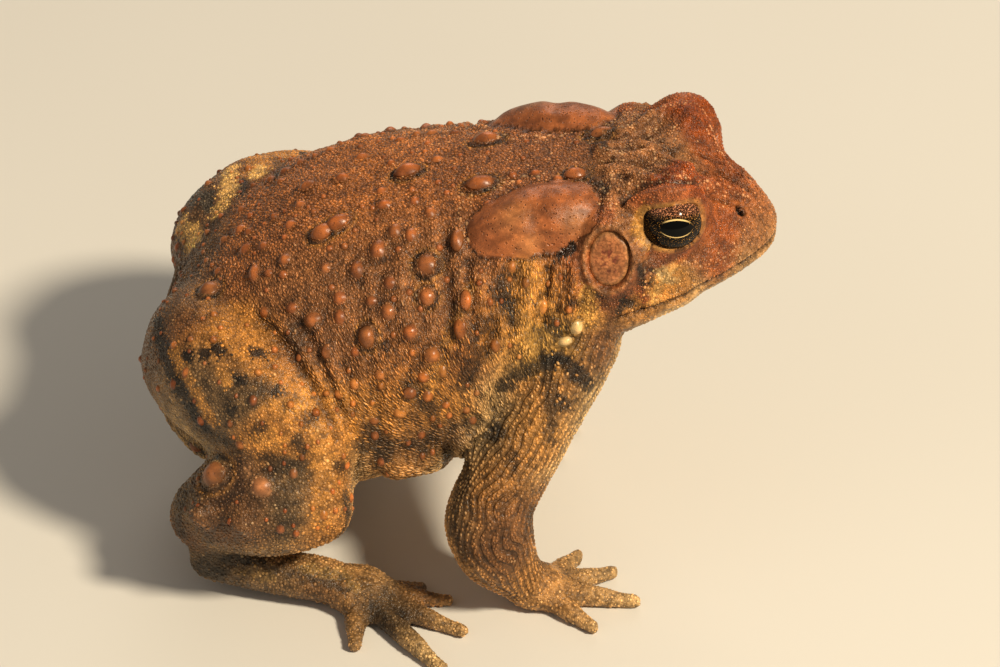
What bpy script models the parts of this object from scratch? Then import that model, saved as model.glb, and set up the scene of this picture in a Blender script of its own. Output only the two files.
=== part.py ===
"""An american toad sitting up on its forelegs, head level, as a life-size still model.

Metres, +Z up. The toad faces +X and its left side is +Y. The floor is Z = 0, under the palms, the
fingers, the heels and the toes. Every table is in millimetres of an animal 84 mm long from snout to
vent, and SNOUT_VENT sets the size of the whole.
"""

import math
import random

import bmesh
import bpy
import numpy as np
from mathutils import Matrix, Vector
from mathutils.bvhtree import BVHTree

SNOUT_VENT = 0.084
UNIT = SNOUT_VENT / 84
GAP = 0.3 * UNIT
CENTRE_X = -1.0

BODY_SIDES = 34
LIMB_SIDES = 12
DIGIT_SIDES = 6

# One row for each cross-section, from the vent to the snout: dorsal x and z, ventral x and z, half
# width, squareness of the upper and of the lower half, and how far the widest level lies below the
# middle, as a share of the half height.
BODY_SECTIONS = (
    (-41.2, 20.0, -41.0, 17.0, 2.5, 2.0, 2.0, 0.00),
    (-40.0, 26.5, -39.0, 11.0, 9.5, 2.1, 2.1, 0.00),
    (-36.5, 34.0, -33.5, 7.0, 16.0, 2.2, 2.2, 0.05),
    (-30.0, 40.5, -26.0, 7.0, 20.5, 2.3, 2.2, 0.10),
    (-21.0, 47.0, -16.0, 8.8, 24.0, 2.3, 2.2, 0.15),
    (-10.5, 50.2, -6.0, 12.6, 25.0, 2.2, 2.2, 0.18),
    (0.0, 52.4, 3.0, 18.8, 23.2, 2.15, 2.2, 0.18),
    (8.0, 53.8, 11.0, 25.5, 20.0, 2.2, 2.2, 0.15),
    (15.0, 55.0, 17.0, 31.5, 17.2, 2.4, 2.2, 0.22),
    (21.0, 56.0, 22.0, 36.0, 16.0, 2.7, 2.1, 0.35),
    (27.0, 55.4, 27.0, 39.0, 14.0, 2.7, 2.1, 0.42),
    (32.0, 52.7, 32.0, 41.0, 11.0, 2.2, 2.1, 0.42),
    (35.8, 49.9, 35.8, 42.4, 7.6, 2.1, 2.1, 0.35),
    (38.2, 48.0, 38.2, 43.2, 4.7, 2.1, 2.1, 0.20),
    (39.3, 46.4, 39.3, 44.6, 1.8, 2.0, 2.0, 0.00),
)
NECK = 7.9
TORSO_RINGS = 23
HEAD_RINGS = 19

EYE = (26.5, 9.4, 52.4)
EYE_RADIUS = 4.3
LID = (26.4, 8.1, 53.4)
LID_RADII = (5.2, 5.0, 5.0)
EYE_OPENING = (26.4, 13.6, 53.2)
EYE_OPENING_RADII = (3.9, 4.2, 2.8)
EYE_OPENING_TIP = 20
NOSTRIL = (35.6, 4.2, 49.6)
NOSTRIL_RADII = (0.6, 1.3, 0.5)

# The mouth line in side view, from in front of the lips back to the jaw angle, and down behind it.
MOUTH_LINE = ((43.0, 45.6), (38.0, 45.3), (31.0, 43.9), (25.0, 42.3), (20.2, 41.2))
JAW_BACK = ((18.2, 38.0), (17.6, 26.0), (43.0, 26.0))

# Crests of the head: points and radii on the left.
BROW_CREST = (((32.5, 3.6, 52.5), 0.6), ((28.0, 3.6, 55.0), 0.9), ((23.0, 4.2, 55.9), 1.0), ((21.2, 6.5, 55.5), 1.0))
EAR_CREST = (((21.5, 5.0, 55.8), 0.9), ((21.0, 8.5, 54.9), 1.1), ((20.2, 11.2, 53.2), 1.1), ((18.9, 12.9, 51.4), 0.8))
CANTHUS = (((32.2, 5.6, 51.6), 0.8), ((34.9, 4.2, 50.0), 0.8), ((37.2, 2.8, 48.2), 0.7))

TYMPANUM = (19.4, 14.8, 49.3)
TYMPANUM_OUT = (-0.05, 0.93, 0.36)
TYMPANUM_RADII = (2.8, 3.8, 1.5)

# Limb tables of the left side: a point of the axis and the half thickness across and along the flat.
PAROTOID = (((15.5, 9.2, 52.5), 3.8, 2.8), ((9.8, 10.5, 50.9), 5.0, 3.9), ((4.2, 11.8, 49.0), 3.8, 3.3))
THIGH = (((-33.0, 10.5, 27.0), 9.0, 10.0), ((-29.5, 16.5, 28.4), 9.3, 9.9), ((-22.5, 21.8, 27.3), 7.8, 8.6),
         ((-16.2, 24.6, 24.5), 5.8, 6.6))
SHANK = (((-15.8, 26.6, 17.6), 5.6, 7.2), ((-21.5, 27.4, 16.8), 6.2, 7.9), ((-27.8, 26.6, 14.8), 5.4, 6.8),
         ((-32.4, 24.8, 10.4), 3.8, 4.8))
TARSUS = (((-31.2, 24.4, 4.9), 3.1, 3.6), ((-23.0, 25.2, 3.9), 3.2, 3.3), ((-14.5, 25.4, 3.0), 3.6, 2.9))
RIGHT_ARM = (((15.0, 12.5, 35.5), 6.5, 7.5), ((12.3, 17.0, 28.5), 5.3, 5.8), ((5.4, 23.6, 15.8), 5.7, 6.3))
RIGHT_FOREARM = (((5.0, 24.0, 14.6), 5.9, 6.5), ((6.4, 24.2, 9.5), 5.5, 6.0), ((9.0, 22.8, 4.4), 3.4, 4.0))
LEFT_ARM = (((13.0, 12.5, 35.5), 6.5, 7.5), ((8.5, 18.2, 28.0), 5.3, 5.8), ((1.8, 24.0, 17.6), 4.8, 5.2))
LEFT_FOREARM = (((1.2, 24.4, 16.2), 5.0, 5.6), ((1.4, 23.2, 10.4), 4.9, 5.3), ((2.6, 20.2, 4.6), 3.4, 4.0))

SHOULDER = (10.5, 11.8, 34.5)
SHOULDER_RADII = (8.0, 7.2, 8.5)

RIGHT_PALM = (11.3, 22.2, 2.2)
LEFT_PALM = (4.0, 17.8, 2.2)
PALM_RADII = (4.4, 4.0, 2.6)
INSTEP = (-11.4, 25.6, 2.1)
INSTEP_RADII = (4.8, 4.2, 2.6)

# Digits: direction in plan in degrees from forward towards the outer side, length from the middle of
# the palm or instep, root radius.
RIGHT_FINGERS = ((-62, 10.0, 1.45), (-31, 11.5, 1.45), (0, 13.5, 1.45), (36, 10.5, 1.4))
LEFT_FINGERS = ((-112, 9.5, 1.45), (-82, 11.5, 1.45), (-54, 12.5, 1.45), (-22, 9.5, 1.4))
TOES = ((-22, 9.0, 1.25), (-4, 12.5, 1.3), (20, 16.0, 1.4), (46, 19.5, 1.45), (84, 10.5, 1.4))
DIGIT_LEVEL = 0.8

# Main warts, as section, degrees round from the back's middle and radius: those found on both sides,
# and those near the middle with degrees counted towards the left. Where three run together they make
# one long wart.
SIDE_WARTS = (
    (6.2, 10.3, 1.9), (4.24, 21.5, 1.3), (4.43, 19.5, 1.5), (4.62, 17.0, 1.3), (2.65, 33.0, 2.1),
    (5.56, 38.0, 1.5), (5.62, 49.0, 1.3), (5.2, 41.0, 1.2), (5.05, 29.5, 1.3), (4.77, 36.0, 1.2),
    (4.92, 56.0, 1.3), (5.42, 59.0, 1.3), (3.5, 31.0, 1.3),
)
MIDDLE_WARTS = ((5.25, -2.0, 1.8), (5.05, -14.0, 1.5), (4.05, -1.0, 1.5))
SHANK_WARTS = ((-30.5, 32.2, 17.4, 2.2), (-25.0, 33.8, 17.6, 1.9))

SKIN = (0.42, 0.20, 0.075, 1.0)
GLAND = (0.44, 0.15, 0.055, 1.0)
EAR = (0.36, 0.17, 0.09, 1.0)
EYEBALL = (0.02, 0.012, 0.008, 1.0)


def clear_scene():
    for item in list(bpy.data.objects):
        bpy.data.objects.remove(item)


def collection(name):
    made = bpy.data.collections.new(name)
    bpy.context.scene.collection.children.link(made)
    return made


def material(name, colour, roughness):
    made = bpy.data.materials.new(name)
    made.use_nodes = True
    shader = made.node_tree.nodes["Principled BSDF"]
    shader.inputs["Base Color"].default_value = colour
    shader.inputs["Roughness"].default_value = roughness
    shader.inputs["Metallic"].default_value = 0.0
    return made


def place(point):
    """A table point in millimetres as a place in the model's frame."""
    return Vector((point[0] - CENTRE_X, point[1], point[2])) * UNIT


def mirrored(point, side):
    """side is 1 on the left and -1 on the right."""
    return (point[0], point[1] * side, *point[2:])


def new_object(name, bm, group):
    bmesh.ops.recalc_face_normals(bm, faces=bm.faces)
    mesh = bpy.data.meshes.new(name)
    bm.to_mesh(mesh)
    bm.free()
    made = bpy.data.objects.new(name, mesh)
    group.objects.link(made)
    return made


def through(rows, at):
    """A smooth curve through the rows of a table, read at row number at."""
    table = np.array(rows, float)
    last = len(table) - 1
    low = min(int(at), last - 1)
    part = at - low
    p0, p1, p2, p3 = (table[min(max(low + k, 0), last)] for k in (-1, 0, 1, 2))
    return 0.5 * (
        2 * p1
        + (p2 - p0) * part
        + (2 * p0 - 5 * p1 + 4 * p2 - p3) * part**2
        + (3 * p1 - 3 * p2 + p3 - p0) * part**3
    )


def body_point(at, degrees):
    """A point of the body's surface: at is the section, degrees the turn from the back's middle to the left."""
    top_x, top_z, low_x, low_z, width, square_top, square_low, sag = through(BODY_SECTIONS, at)
    turn = math.radians(degrees)
    square = square_top if math.cos(turn) > 0 else square_low
    across = math.copysign(abs(math.sin(turn)) ** (2 / square), math.sin(turn))
    up = math.copysign(abs(math.cos(turn)) ** (2 / square), math.cos(turn))
    up -= sag * (1 - up * up)
    middle = ((top_x + low_x) / 2, (top_z + low_z) / 2)
    half = ((top_x - low_x) / 2, (top_z - low_z) / 2)
    return place((middle[0] + half[0] * up, max(width, 0.3) * across, middle[1] + half[1] * up))


def body_normal(at, degrees):
    along = body_point(at + 0.05, degrees) - body_point(at - 0.05, degrees)
    around = body_point(at, degrees + 2) - body_point(at, degrees - 2)
    return along.cross(around).normalized() * -1


def loft(name, rings, group):
    """A closed skin over rings with equally many points. Each end is closed by a fan to its middle."""
    bm = bmesh.new()
    rows = [[bm.verts.new(p) for p in ring] for ring in rings]
    count = len(rings[0])
    for row, following in zip(rows, rows[1:]):
        for k in range(count):
            bm.faces.new((row[k], row[(k + 1) % count], following[(k + 1) % count], following[k]))
    for row in (rows[0], rows[-1]):
        middle = bm.verts.new(sum((v.co for v in row), Vector()) / count)
        for k in range(count):
            bm.faces.new((row[k], row[(k + 1) % count], middle))
    return new_object(name, bm, group)


def body_length(name, first, last, rings, group):
    turns = [360 * k / BODY_SIDES for k in range(BODY_SIDES)]
    levels = [first + (last - first) * k / (rings - 1) for k in range(rings)]
    return loft(name, [[body_point(at, turn) for turn in turns] for at in levels], group)


def limb(name, table, group, side=1, sides=LIMB_SIDES, rings=7, up=(0, 0, 1), cap=0.8):
    """A round-ended limb along the table's points, each with its half thickness across and along up."""
    rows = [(*mirrored(point, side), across, along) for point, across, along in table]
    steps = [(len(rows) - 1) * k / (rings - 1) for k in range(rings)]
    values = [through(rows, at) for at in steps]
    centres = [place(v[:3]) for v in values]
    made = []
    for k, value in enumerate(values):
        ahead = (centres[min(k + 1, rings - 1)] - centres[max(k - 1, 0)]).normalized()
        across = ahead.cross(Vector(up)).normalized()
        level = across.cross(ahead)
        sizes = value[3] * UNIT, value[4] * UNIT
        ends = {0: (-68, -36, 0), rings - 1: (0, 36, 68)}.get(k, (0,))
        for end in ends:
            turn = math.radians(end)
            middle = centres[k] + ahead * math.sin(turn) * min(sizes) * cap
            shrink = math.cos(turn)
            made.append([
                middle
                + across * math.cos(a) * sizes[0] * shrink
                + level * math.sin(a) * sizes[1] * shrink
                for a in (2 * math.pi * j / sides for j in range(sides))
            ])
    return loft(name, made, group)


def ball(name, middle, radii, group, segments=20, rings=12, turn=None):
    """An ellipsoid with its half sizes in millimetres."""
    bm = bmesh.new()
    bmesh.ops.create_uvsphere(bm, u_segments=segments, v_segments=rings, radius=1)
    matrix = Matrix.Translation(place(middle)) @ (turn or Matrix()) @ Matrix.Diagonal((*radii, 1 / UNIT)) * UNIT
    matrix[3][3] = 1
    bmesh.ops.transform(bm, matrix=matrix, verts=bm.verts)
    return new_object(name, bm, group)


def ridge(name, table, side, group):
    return limb(name, [(point, size, size) for point, size in table], group, side, sides=6, rings=5)


def dome(name, at, normal, radius, height, group):
    """A wart: a low faceted dome with its root sunk in the skin."""
    bm = bmesh.new()
    bmesh.ops.create_uvsphere(bm, u_segments=8, v_segments=6, radius=1)
    frame = normal.to_track_quat("Z", "Y").to_matrix().to_4x4()
    size = Matrix.Diagonal((radius * UNIT, radius * UNIT, height * radius * UNIT, 1))
    bmesh.ops.transform(bm, matrix=Matrix.Translation(at) @ frame @ size, verts=bm.verts)
    return new_object(name, bm, group)


def evaluated_mesh(item):
    graph = bpy.context.evaluated_depsgraph_get()
    return bpy.data.meshes.new_from_object(item.evaluated_get(graph))


def keep_largest(mesh):
    """Removes every closed surface but the one with the most vertices."""
    bm = bmesh.new()
    bm.from_mesh(mesh)
    bmesh.ops.remove_doubles(bm, verts=bm.verts, dist=0.01 * UNIT)
    bm.verts.ensure_lookup_table()
    unseen = set(bm.verts)
    shells = []
    while unseen:
        shell, front = set(), {unseen.pop()}
        while front:
            shell |= front
            front = {e.other_vert(v) for v in front for e in v.link_edges} - shell
        unseen -= shell
        shells.append(shell)
    largest = max(shells, key=len)
    bmesh.ops.delete(bm, geom=[v for shell in shells if shell is not largest for v in shell], context="VERTS")
    bm.to_mesh(mesh)
    bm.free()


def combine(item, others, operation, group, solver="EXACT"):
    """Joins others to item or cuts them from it, with one Boolean on a collection, and removes them."""
    tools = collection("tools")
    for other in others:
        group.objects.unlink(other)
        tools.objects.link(other)
    boolean = item.modifiers.new(operation.lower(), "BOOLEAN")
    boolean.operation = operation
    boolean.operand_type = "COLLECTION"
    boolean.collection = tools
    boolean.solver = solver
    mesh = evaluated_mesh(item)
    item.modifiers.clear()
    item.data = mesh
    for other in others:
        bpy.data.objects.remove(other)
    bpy.data.collections.remove(tools)
    keep_largest(item.data)
    return item


def swell(form, by=GAP):
    """Moves the surface of a plain form out by the gap."""
    normals = [v.normal.copy() for v in form.data.vertices]
    for vertex, normal in zip(form.data.vertices, normals):
        vertex.co += normal * by


def give_way(item, forms, group):
    """Cuts a node back to the gap from the plain forms that its neighbours are made of."""
    for form in forms:
        swell(form)
    return combine(item, forms, "DIFFERENCE", group)


def floor_cutter(group):
    bm = bmesh.new()
    bmesh.ops.create_cube(bm, size=1)
    size = Matrix.Diagonal((3 * SNOUT_VENT, 3 * SNOUT_VENT, SNOUT_VENT, 1))
    bmesh.ops.transform(bm, matrix=Matrix.Translation((0, 0, -SNOUT_VENT / 2)) @ size, verts=bm.verts)
    return new_object("floor_cutter", bm, group)


def jaw_prism(name, grow, group):
    """The space in front of and below the mouth line, across the whole head."""
    outline = [(x, z + grow) for x, z in MOUTH_LINE] + [(x - grow, z) for x, z in JAW_BACK[:2]] + [JAW_BACK[2]]
    bm = bmesh.new()
    half_width = 30
    near = [bm.verts.new(place((x, -half_width, z))) for x, z in outline]
    far = [bm.verts.new(place((x, half_width, z))) for x, z in outline]
    bm.faces.new(near)
    bm.faces.new(list(reversed(far)))
    for k in range(len(outline)):
        following = (k + 1) % len(outline)
        bm.faces.new((near[k], far[k], far[following], near[following]))
    return new_object(name, bm, group)


def warts_on(tree, group):
    """The body's main warts. Those of the left side stray a little from the right side's places."""
    draw = random.Random(4)
    spots = [(at, -degrees, radius) for at, degrees, radius in SIDE_WARTS] + list(MIDDLE_WARTS)
    for at, degrees, radius in SIDE_WARTS:
        stray = draw.uniform(-0.1, 0.1), draw.uniform(-3.5, 3.5), draw.uniform(0.9, 1.1)
        spots.append((at + stray[0], degrees + stray[1], radius * stray[2]))
    made = []
    for number, (at, degrees, radius) in enumerate(spots):
        found, normal, _, _ = tree.find_nearest(body_point(at, degrees))
        made.append(dome(f"wart_{number}", found, normal, radius, 0.72, group))
    return made


def torso_forms(parts):
    torso = body_length("torso", 0, NECK, TORSO_RINGS, parts)
    shoulders = [
        ball(f"shoulder_{side}", mirrored(SHOULDER, side), SHOULDER_RADII, parts) for side in (1, -1)
    ]
    tree = BVHTree.FromObject(torso, bpy.context.evaluated_depsgraph_get())
    return [torso, *shoulders, *warts_on(tree, parts)]


def head_form(name, parts):
    return body_length(name, NECK + 0.05, len(BODY_SECTIONS) - 1, HEAD_RINGS, parts)


def head_forms(parts):
    forms = [head_form("head", parts)]
    for side in (1, -1):
        forms.append(ball(f"lid_{side}", mirrored(LID, side), LID_RADII, parts, 18, 12))
        for name, table in (("brow", BROW_CREST), ("ear_crest", EAR_CREST), ("canthus", CANTHUS)):
            forms.append(ridge(f"{name}_{side}", table, side, parts))
    return forms


def make_torso(parts):
    torso, *others = torso_forms(parts)
    combine(torso, others, "UNION", parts)
    return give_way(torso, [head_form("head_space", parts)], parts)


def make_head(parts):
    """The head above the mouth line and the lower jaw below it, with a thin cut between them."""
    jaw = head_form("lower_jaw", parts)
    combine(jaw, [jaw_prism("jaw_space", 0, parts)], "INTERSECT", parts)
    head, *others = head_forms(parts)
    combine(head, [jaw_prism("jaw_space", GAP / UNIT, parts)], "DIFFERENCE", parts)
    combine(head, others, "UNION", parts)
    cut = []
    for side in (1, -1):
        room = EYE_RADIUS + GAP / UNIT
        cut.append(ball(f"socket_{side}", mirrored(EYE, side), (room,) * 3, parts, 16, 10))
        turn = Matrix.Rotation(math.radians(EYE_OPENING_TIP * side), 4, "X")
        cut.append(ball(f"opening_{side}", mirrored(EYE_OPENING, side), EYE_OPENING_RADII, parts, 16, 8, turn))
        cut.append(ball(f"nostril_{side}", mirrored(NOSTRIL, side), NOSTRIL_RADII, parts, 8, 6))
        cut.append(tympanum_disc(f"ear_space_{side}", side, GAP / UNIT, parts))
    combine(head, cut, "DIFFERENCE", parts)
    return head, jaw


def tympanum_disc(name, side, grow, group):
    """The eardrum: an upright oval lens let into the side of the head."""
    out = Vector(mirrored(TYMPANUM_OUT, side)).normalized()
    turn = out.to_track_quat("Z", "Y").to_matrix().to_4x4()
    radii = [radius + grow for radius in TYMPANUM_RADII]
    return ball(name, mirrored(TYMPANUM, side), radii, group, 14, 8, turn)


def digit(name, middle, direction, length, root, group):
    """A tapered toe or finger that lies on the floor, a little thicker at its joint and its blunt tip."""
    turn = math.radians(direction)
    ahead = (math.cos(turn), math.sin(turn))
    shape = ((0.15, 1.1), (0.45, 1.0), (0.6, 1.08), (0.8, 0.74), (0.95, 0.78))
    table = [
        (
            (middle[0] + ahead[0] * length * share, middle[1] + ahead[1] * length * share, root * size * DIGIT_LEVEL),
            root * size,
            root * size,
        )
        for share, size in shape
    ]
    return limb(name, table, group, 1, DIGIT_SIDES, 6)


def make_extremity(name, middle, radii, digits, side, neighbours, parts):
    """A palm or instep with its digits, cut flat where it meets the floor."""
    palm = ball(name, mirrored(middle, side), radii, parts, 14, 8)
    made = [
        digit(f"{name}_digit_{k}", mirrored(middle, side), direction * side, length, root, parts)
        for k, (direction, length, root) in enumerate(digits)
    ]
    combine(palm, made, "UNION", parts)
    combine(palm, [floor_cutter(parts)], "DIFFERENCE", parts)
    return give_way(palm, neighbours, parts)


def make_foreleg(side, name, parts):
    """The left foreleg stands further back and its hand turns further in than the right."""
    arm, forearm, palm, fingers = {
        1: (LEFT_ARM, LEFT_FOREARM, LEFT_PALM, LEFT_FINGERS),
        -1: (RIGHT_ARM, RIGHT_FOREARM, RIGHT_PALM, RIGHT_FINGERS),
    }[side]

    def arm_form():
        return limb(f"upper_arm_{name}", arm, parts, side, up=(0, 1, 0))

    def forearm_form():
        return limb(f"forearm_{name}", forearm, parts, side, up=(0, 1, 0))

    def trunk_forms():
        return [*torso_forms(parts), head_form("head_space", parts)]

    upper = give_way(arm_form(), trunk_forms(), parts)
    lower = give_way(forearm_form(), [arm_form(), *trunk_forms()], parts)
    hand = make_extremity(f"hand_{name}", palm, PALM_RADII, fingers, side, [forearm_form()], parts)
    return [upper, lower, hand]


def make_hindleg(side, name, parts):
    def thigh_form():
        return limb(f"thigh_{name}", THIGH, parts, side)

    def shank_forms():
        return [
            limb(f"shank_{name}", SHANK, parts, side),
            *(
                dome(f"shank_wart_{k}", place(mirrored(spot, side)), Vector((0, side, 0.4)).normalized(), spot[3], 0.8,
                     parts)
                for k, spot in enumerate(SHANK_WARTS)
            ),
        ]

    def tarsus_form():
        return limb(f"tarsus_{name}", TARSUS, parts, side)

    thigh = give_way(thigh_form(), torso_forms(parts), parts)
    shank, *warts = shank_forms()
    combine(shank, warts, "UNION", parts)
    give_way(shank, [thigh_form(), *torso_forms(parts)], parts)
    tarsus = combine(tarsus_form(), [floor_cutter(parts)], "DIFFERENCE", parts)
    give_way(tarsus, [*shank_forms(), thigh_form(), *torso_forms(parts)], parts)
    foot = make_extremity(
        f"foot_{name}", INSTEP, INSTEP_RADII, TOES, side, [tarsus_form(), *shank_forms()], parts
    )
    return [thigh, shank, tarsus, foot]


def finish(item, finish_material):
    item.data.materials.clear()
    item.data.materials.append(finish_material)
    item.data.shade_smooth()
    item.data.set_sharp_from_angle(angle=math.radians(50))


def main():
    clear_scene()
    parts = collection("american_toad")
    skin = material("toad_skin", SKIN, 0.6)
    gland = material("gland_skin", GLAND, 0.5)
    ear = material("eardrum_skin", EAR, 0.55)
    eyeball = material("eyeball", EYEBALL, 0.08)
    torso = make_torso(parts)
    head, jaw = make_head(parts)
    flesh = [torso, head, jaw]
    for side, name in ((1, "left"), (-1, "right")):
        flesh += make_foreleg(side, name, parts)
        flesh += make_hindleg(side, name, parts)
        parotoid = limb(f"parotoid_{name}", PAROTOID, parts, side, sides=16, rings=8, up=(0, 0.65 * side, 0.75))
        finish(give_way(parotoid, [*torso_forms(parts), *head_forms(parts)], parts), gland)
        finish(tympanum_disc(f"tympanum_{name}", side, 0, parts), ear)
        eye = ball(f"eye_{name}", mirrored(EYE, side), (EYE_RADIUS,) * 3, parts, 16, 10)
        finish(eye, eyeball)
    for item in flesh:
        finish(item, skin)


main()
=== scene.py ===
"""A life-size american toad as a museum model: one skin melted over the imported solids, with its lids,
folds, warts and granules, and the eyes and eardrums set into it.

Tables are in millimetres in the frame of the solids, or in pixels of the picture where their name says
PX. A pixel is turned into a place on the skin by a ray from the camera, and most are mirrored to the
left side, which the camera hardly sees."""

import math
from collections import namedtuple
from itertools import product

import bmesh
import bpy
import numpy as np
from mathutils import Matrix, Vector
from mathutils.bvhtree import BVHTree
from mathutils.kdtree import KDTree


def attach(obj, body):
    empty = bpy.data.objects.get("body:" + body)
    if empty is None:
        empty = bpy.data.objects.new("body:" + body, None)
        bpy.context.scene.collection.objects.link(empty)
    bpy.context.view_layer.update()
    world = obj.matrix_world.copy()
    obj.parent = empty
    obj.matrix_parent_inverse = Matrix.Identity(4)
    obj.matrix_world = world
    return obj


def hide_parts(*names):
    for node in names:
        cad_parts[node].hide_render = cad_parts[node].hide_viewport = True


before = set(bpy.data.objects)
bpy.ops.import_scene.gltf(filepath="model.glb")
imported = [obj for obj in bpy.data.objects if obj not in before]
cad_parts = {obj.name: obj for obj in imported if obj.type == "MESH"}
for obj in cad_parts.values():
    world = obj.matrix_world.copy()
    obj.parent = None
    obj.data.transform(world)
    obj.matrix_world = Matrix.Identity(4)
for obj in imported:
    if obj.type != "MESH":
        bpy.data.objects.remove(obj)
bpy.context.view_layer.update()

# ------------------------------------------------------------------ camera

MM = 0.001
PICTURE_WIDE, PICTURE_HIGH = 1000, 667
CAMERA_AZIMUTH, CAMERA_ELEVATION = math.radians(7.0), math.radians(36.5)
CAMERA_TARGET = np.array((4.9, 0.0, 25.5))
CAMERA_DISTANCE = 750.0
CAMERA_LENS, CAMERA_SENSOR = 209.0, 36.0
PX_PER_MM = 7.75

BACK = np.array((
    math.sin(CAMERA_AZIMUTH) * math.cos(CAMERA_ELEVATION),
    -math.cos(CAMERA_AZIMUTH) * math.cos(CAMERA_ELEVATION),
    math.sin(CAMERA_ELEVATION),
))
ACROSS = np.array((math.cos(CAMERA_AZIMUTH), math.sin(CAMERA_AZIMUTH), 0.0))
UPWARD = np.cross(BACK, ACROSS)
EYEPOINT = CAMERA_TARGET + CAMERA_DISTANCE * BACK


def pixel_ray(x, y):
    """Direction from the camera through a pixel of the picture."""
    focal = CAMERA_LENS / CAMERA_SENSOR * PICTURE_WIDE
    way = -BACK * focal + ACROSS * (x - PICTURE_WIDE / 2) - UPWARD * (y - PICTURE_HIGH / 2)
    return way / np.linalg.norm(way)


# ------------------------------------------------------------------ colours, linear

RUST = (0.47, 0.155, 0.036)
BACK_BROWN = (0.33, 0.115, 0.036)
FLANK_BROWN = (0.34, 0.134, 0.045)
FLANK_LOW = (0.43, 0.155, 0.034)
OCHRE = (0.62, 0.250, 0.045)
YELLOW_OCHRE = (0.72, 0.310, 0.060)
GREEN_OCHRE = (0.52, 0.275, 0.060)
ARM_OCHRE = (0.46, 0.190, 0.042)
ARM_BROWN = (0.22, 0.085, 0.026)
CREAM = (0.84, 0.46, 0.13)
PALE_CREAM = (0.72, 0.50, 0.22)
BELLY = (0.60, 0.38, 0.16)
THROAT = (0.62, 0.38, 0.15)
GLAND = (0.385, 0.112, 0.034)
LID = (0.39, 0.108, 0.030)
SNOUT = (0.275, 0.053, 0.006)
CROWN = (0.33, 0.130, 0.044)
CHEEK_DARK = (0.20, 0.062, 0.020)
EYE_RING = (0.60, 0.260, 0.045)
GREY_BROWN = (0.185, 0.105, 0.045)
UMBER = (0.17, 0.075, 0.028)
UMBER_BLACK = (0.060, 0.028, 0.013)
NEAR_BLACK = (0.014, 0.010, 0.007)
SLATE = (0.032, 0.024, 0.016)
WART_RED = (0.34, 0.090, 0.024)
WART_ORANGE = (0.50, 0.105, 0.018)
PINK_CREAM = (0.47, 0.225, 0.095)
FOOT_OLIVE = (0.34, 0.195, 0.060)
TOE_OCHRE = (0.33, 0.140, 0.038)
FLANK_YELLOW = (0.68, 0.275, 0.048)
NECK_YELLOW = (0.80, 0.38, 0.08)
EAR_YELLOW = (0.86, 0.44, 0.10)
THIGH_SHADE = (0.085, 0.062, 0.040)
LIP = (0.43, 0.19, 0.05)
MOUTH_DARK = (0.10, 0.035, 0.012)
LID_LINE = (0.62, 0.30, 0.075)
UNDER_EYE_SHADE = (0.13, 0.038, 0.014)
GLAND_HIGHLIGHT_PAINT = (0.60, 0.26, 0.09)
DRUM = (0.50, 0.180, 0.066)
DRUM_SEAT = (0.46, 0.19, 0.065)
DRUM_SPOT = (0.16, 0.030, 0.020)
DRUM_EDGE = (0.50, 0.26, 0.10)
WART_TIP = (0.10, 0.018, 0.002)
PALE_TIP = (0.34, 0.225, 0.115)
PALE_SPECK_GLINT = (0.80, 0.56, 0.26)
NOSTRIL_SHADE_IRIS_BLACK = (0.004, 0.003, 0.003)
PUPIL_BLACK = (0.003, 0.003, 0.003)
PUPIL_GOLD = (0.86, 0.62, 0.26)
IRIS_GOLD = (0.75, 0.36, 0.07)
IRIS_COPPER = (0.85, 0.34, 0.17)
FLOOR_TINTS = ((0.70, 0.66, 0.60), (0.73, 0.69, 0.63))

# ------------------------------------------------------------------ tables

# The kinds of flesh, how many rounds each is smoothed, and how far the solids swell before they melt
# into one skin.
KINDS = ("torso", "head", "lower_jaw", "parotoid", "upper_arm", "forearm", "hand", "thigh", "shank",
         "tarsus", "foot", "eye", "tympanum")
SMOOTH_ROUNDS = dict(torso=44, head=14, lower_jaw=9, parotoid=12, upper_arm=26, forearm=22, hand=3,
                     thigh=34, shank=26, tarsus=14, foot=3, eye=8, tympanum=8)
SWELL = 0.21
EYE_SWELL = 0.36
VOXEL = 0.60
# How far the smoothed skin is drawn in again, and how deep the groove round the gland is.
DRAW_IN, DIGITS_DRAW_IN, GLAND_GROOVE = SWELL + 0.02, 0.08, 0.42
# Half the width of a dome's patch on the bake map.
PATCH_HALF = 0.0015
# How far behind the first hit of its ray a place still counts as seen.
SEEN_WITHIN = 0.8

# The eye: its middle, the way the lids open and the way the pupil looks, and the opening's half width
# and height as shares of the radius, tipped up in front.
EYE_MIDDLE = (27.5, 9.4, 52.4)
EYE_RADIUS = 4.25
GAZE = (0.20, 0.925, 0.225)
PUPIL_GAZE = (0.270, 0.917, 0.293)
OPENING_WIDE, OPENING_HIGH, OPENING_TIP = 0.86, 0.70, math.radians(9.0)
LID_LIP = 0.42
# The first rows of RIDGES_PX shape the lid, and the far lid has a smaller share of them.
FAR_LID_SHARE, LID_ROWS = 0.40, 3
# Where the skin is smoothed once more: pixel, rounds, and from where to where in mm this falls off.
FAR_LID_PX, FAR_LID_ROUNDS, FAR_LID_FADE = (692, 118), 16, (3.0, 4.6)
FAR_CREST_PX, CREST_ROUNDS, CREST_FADE = (630, 108), 40, (2.0, 3.6)
WART_MOUND = 0.34
# The eardrum: its middle, the way it faces, and its half width and height.
TYMPANUM = (20.4, 14.8, 49.3)
TYMPANUM_OUT = (-0.05, 0.93, 0.36)
TYMPANUM_RADII = (2.75, 3.75)
# The mouth line in side view, forward and up.
MOUTH_LINE = ((20.6, 40.9), (22.5, 41.5), (26.0, 42.35), (32.0, 43.95), (39.0, 45.35), (44.0, 45.7))
NOSTRIL_PX, NOSTRIL_RADIUS = (741, 210), 0.95
NECK_PX = (572, 298)
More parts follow.
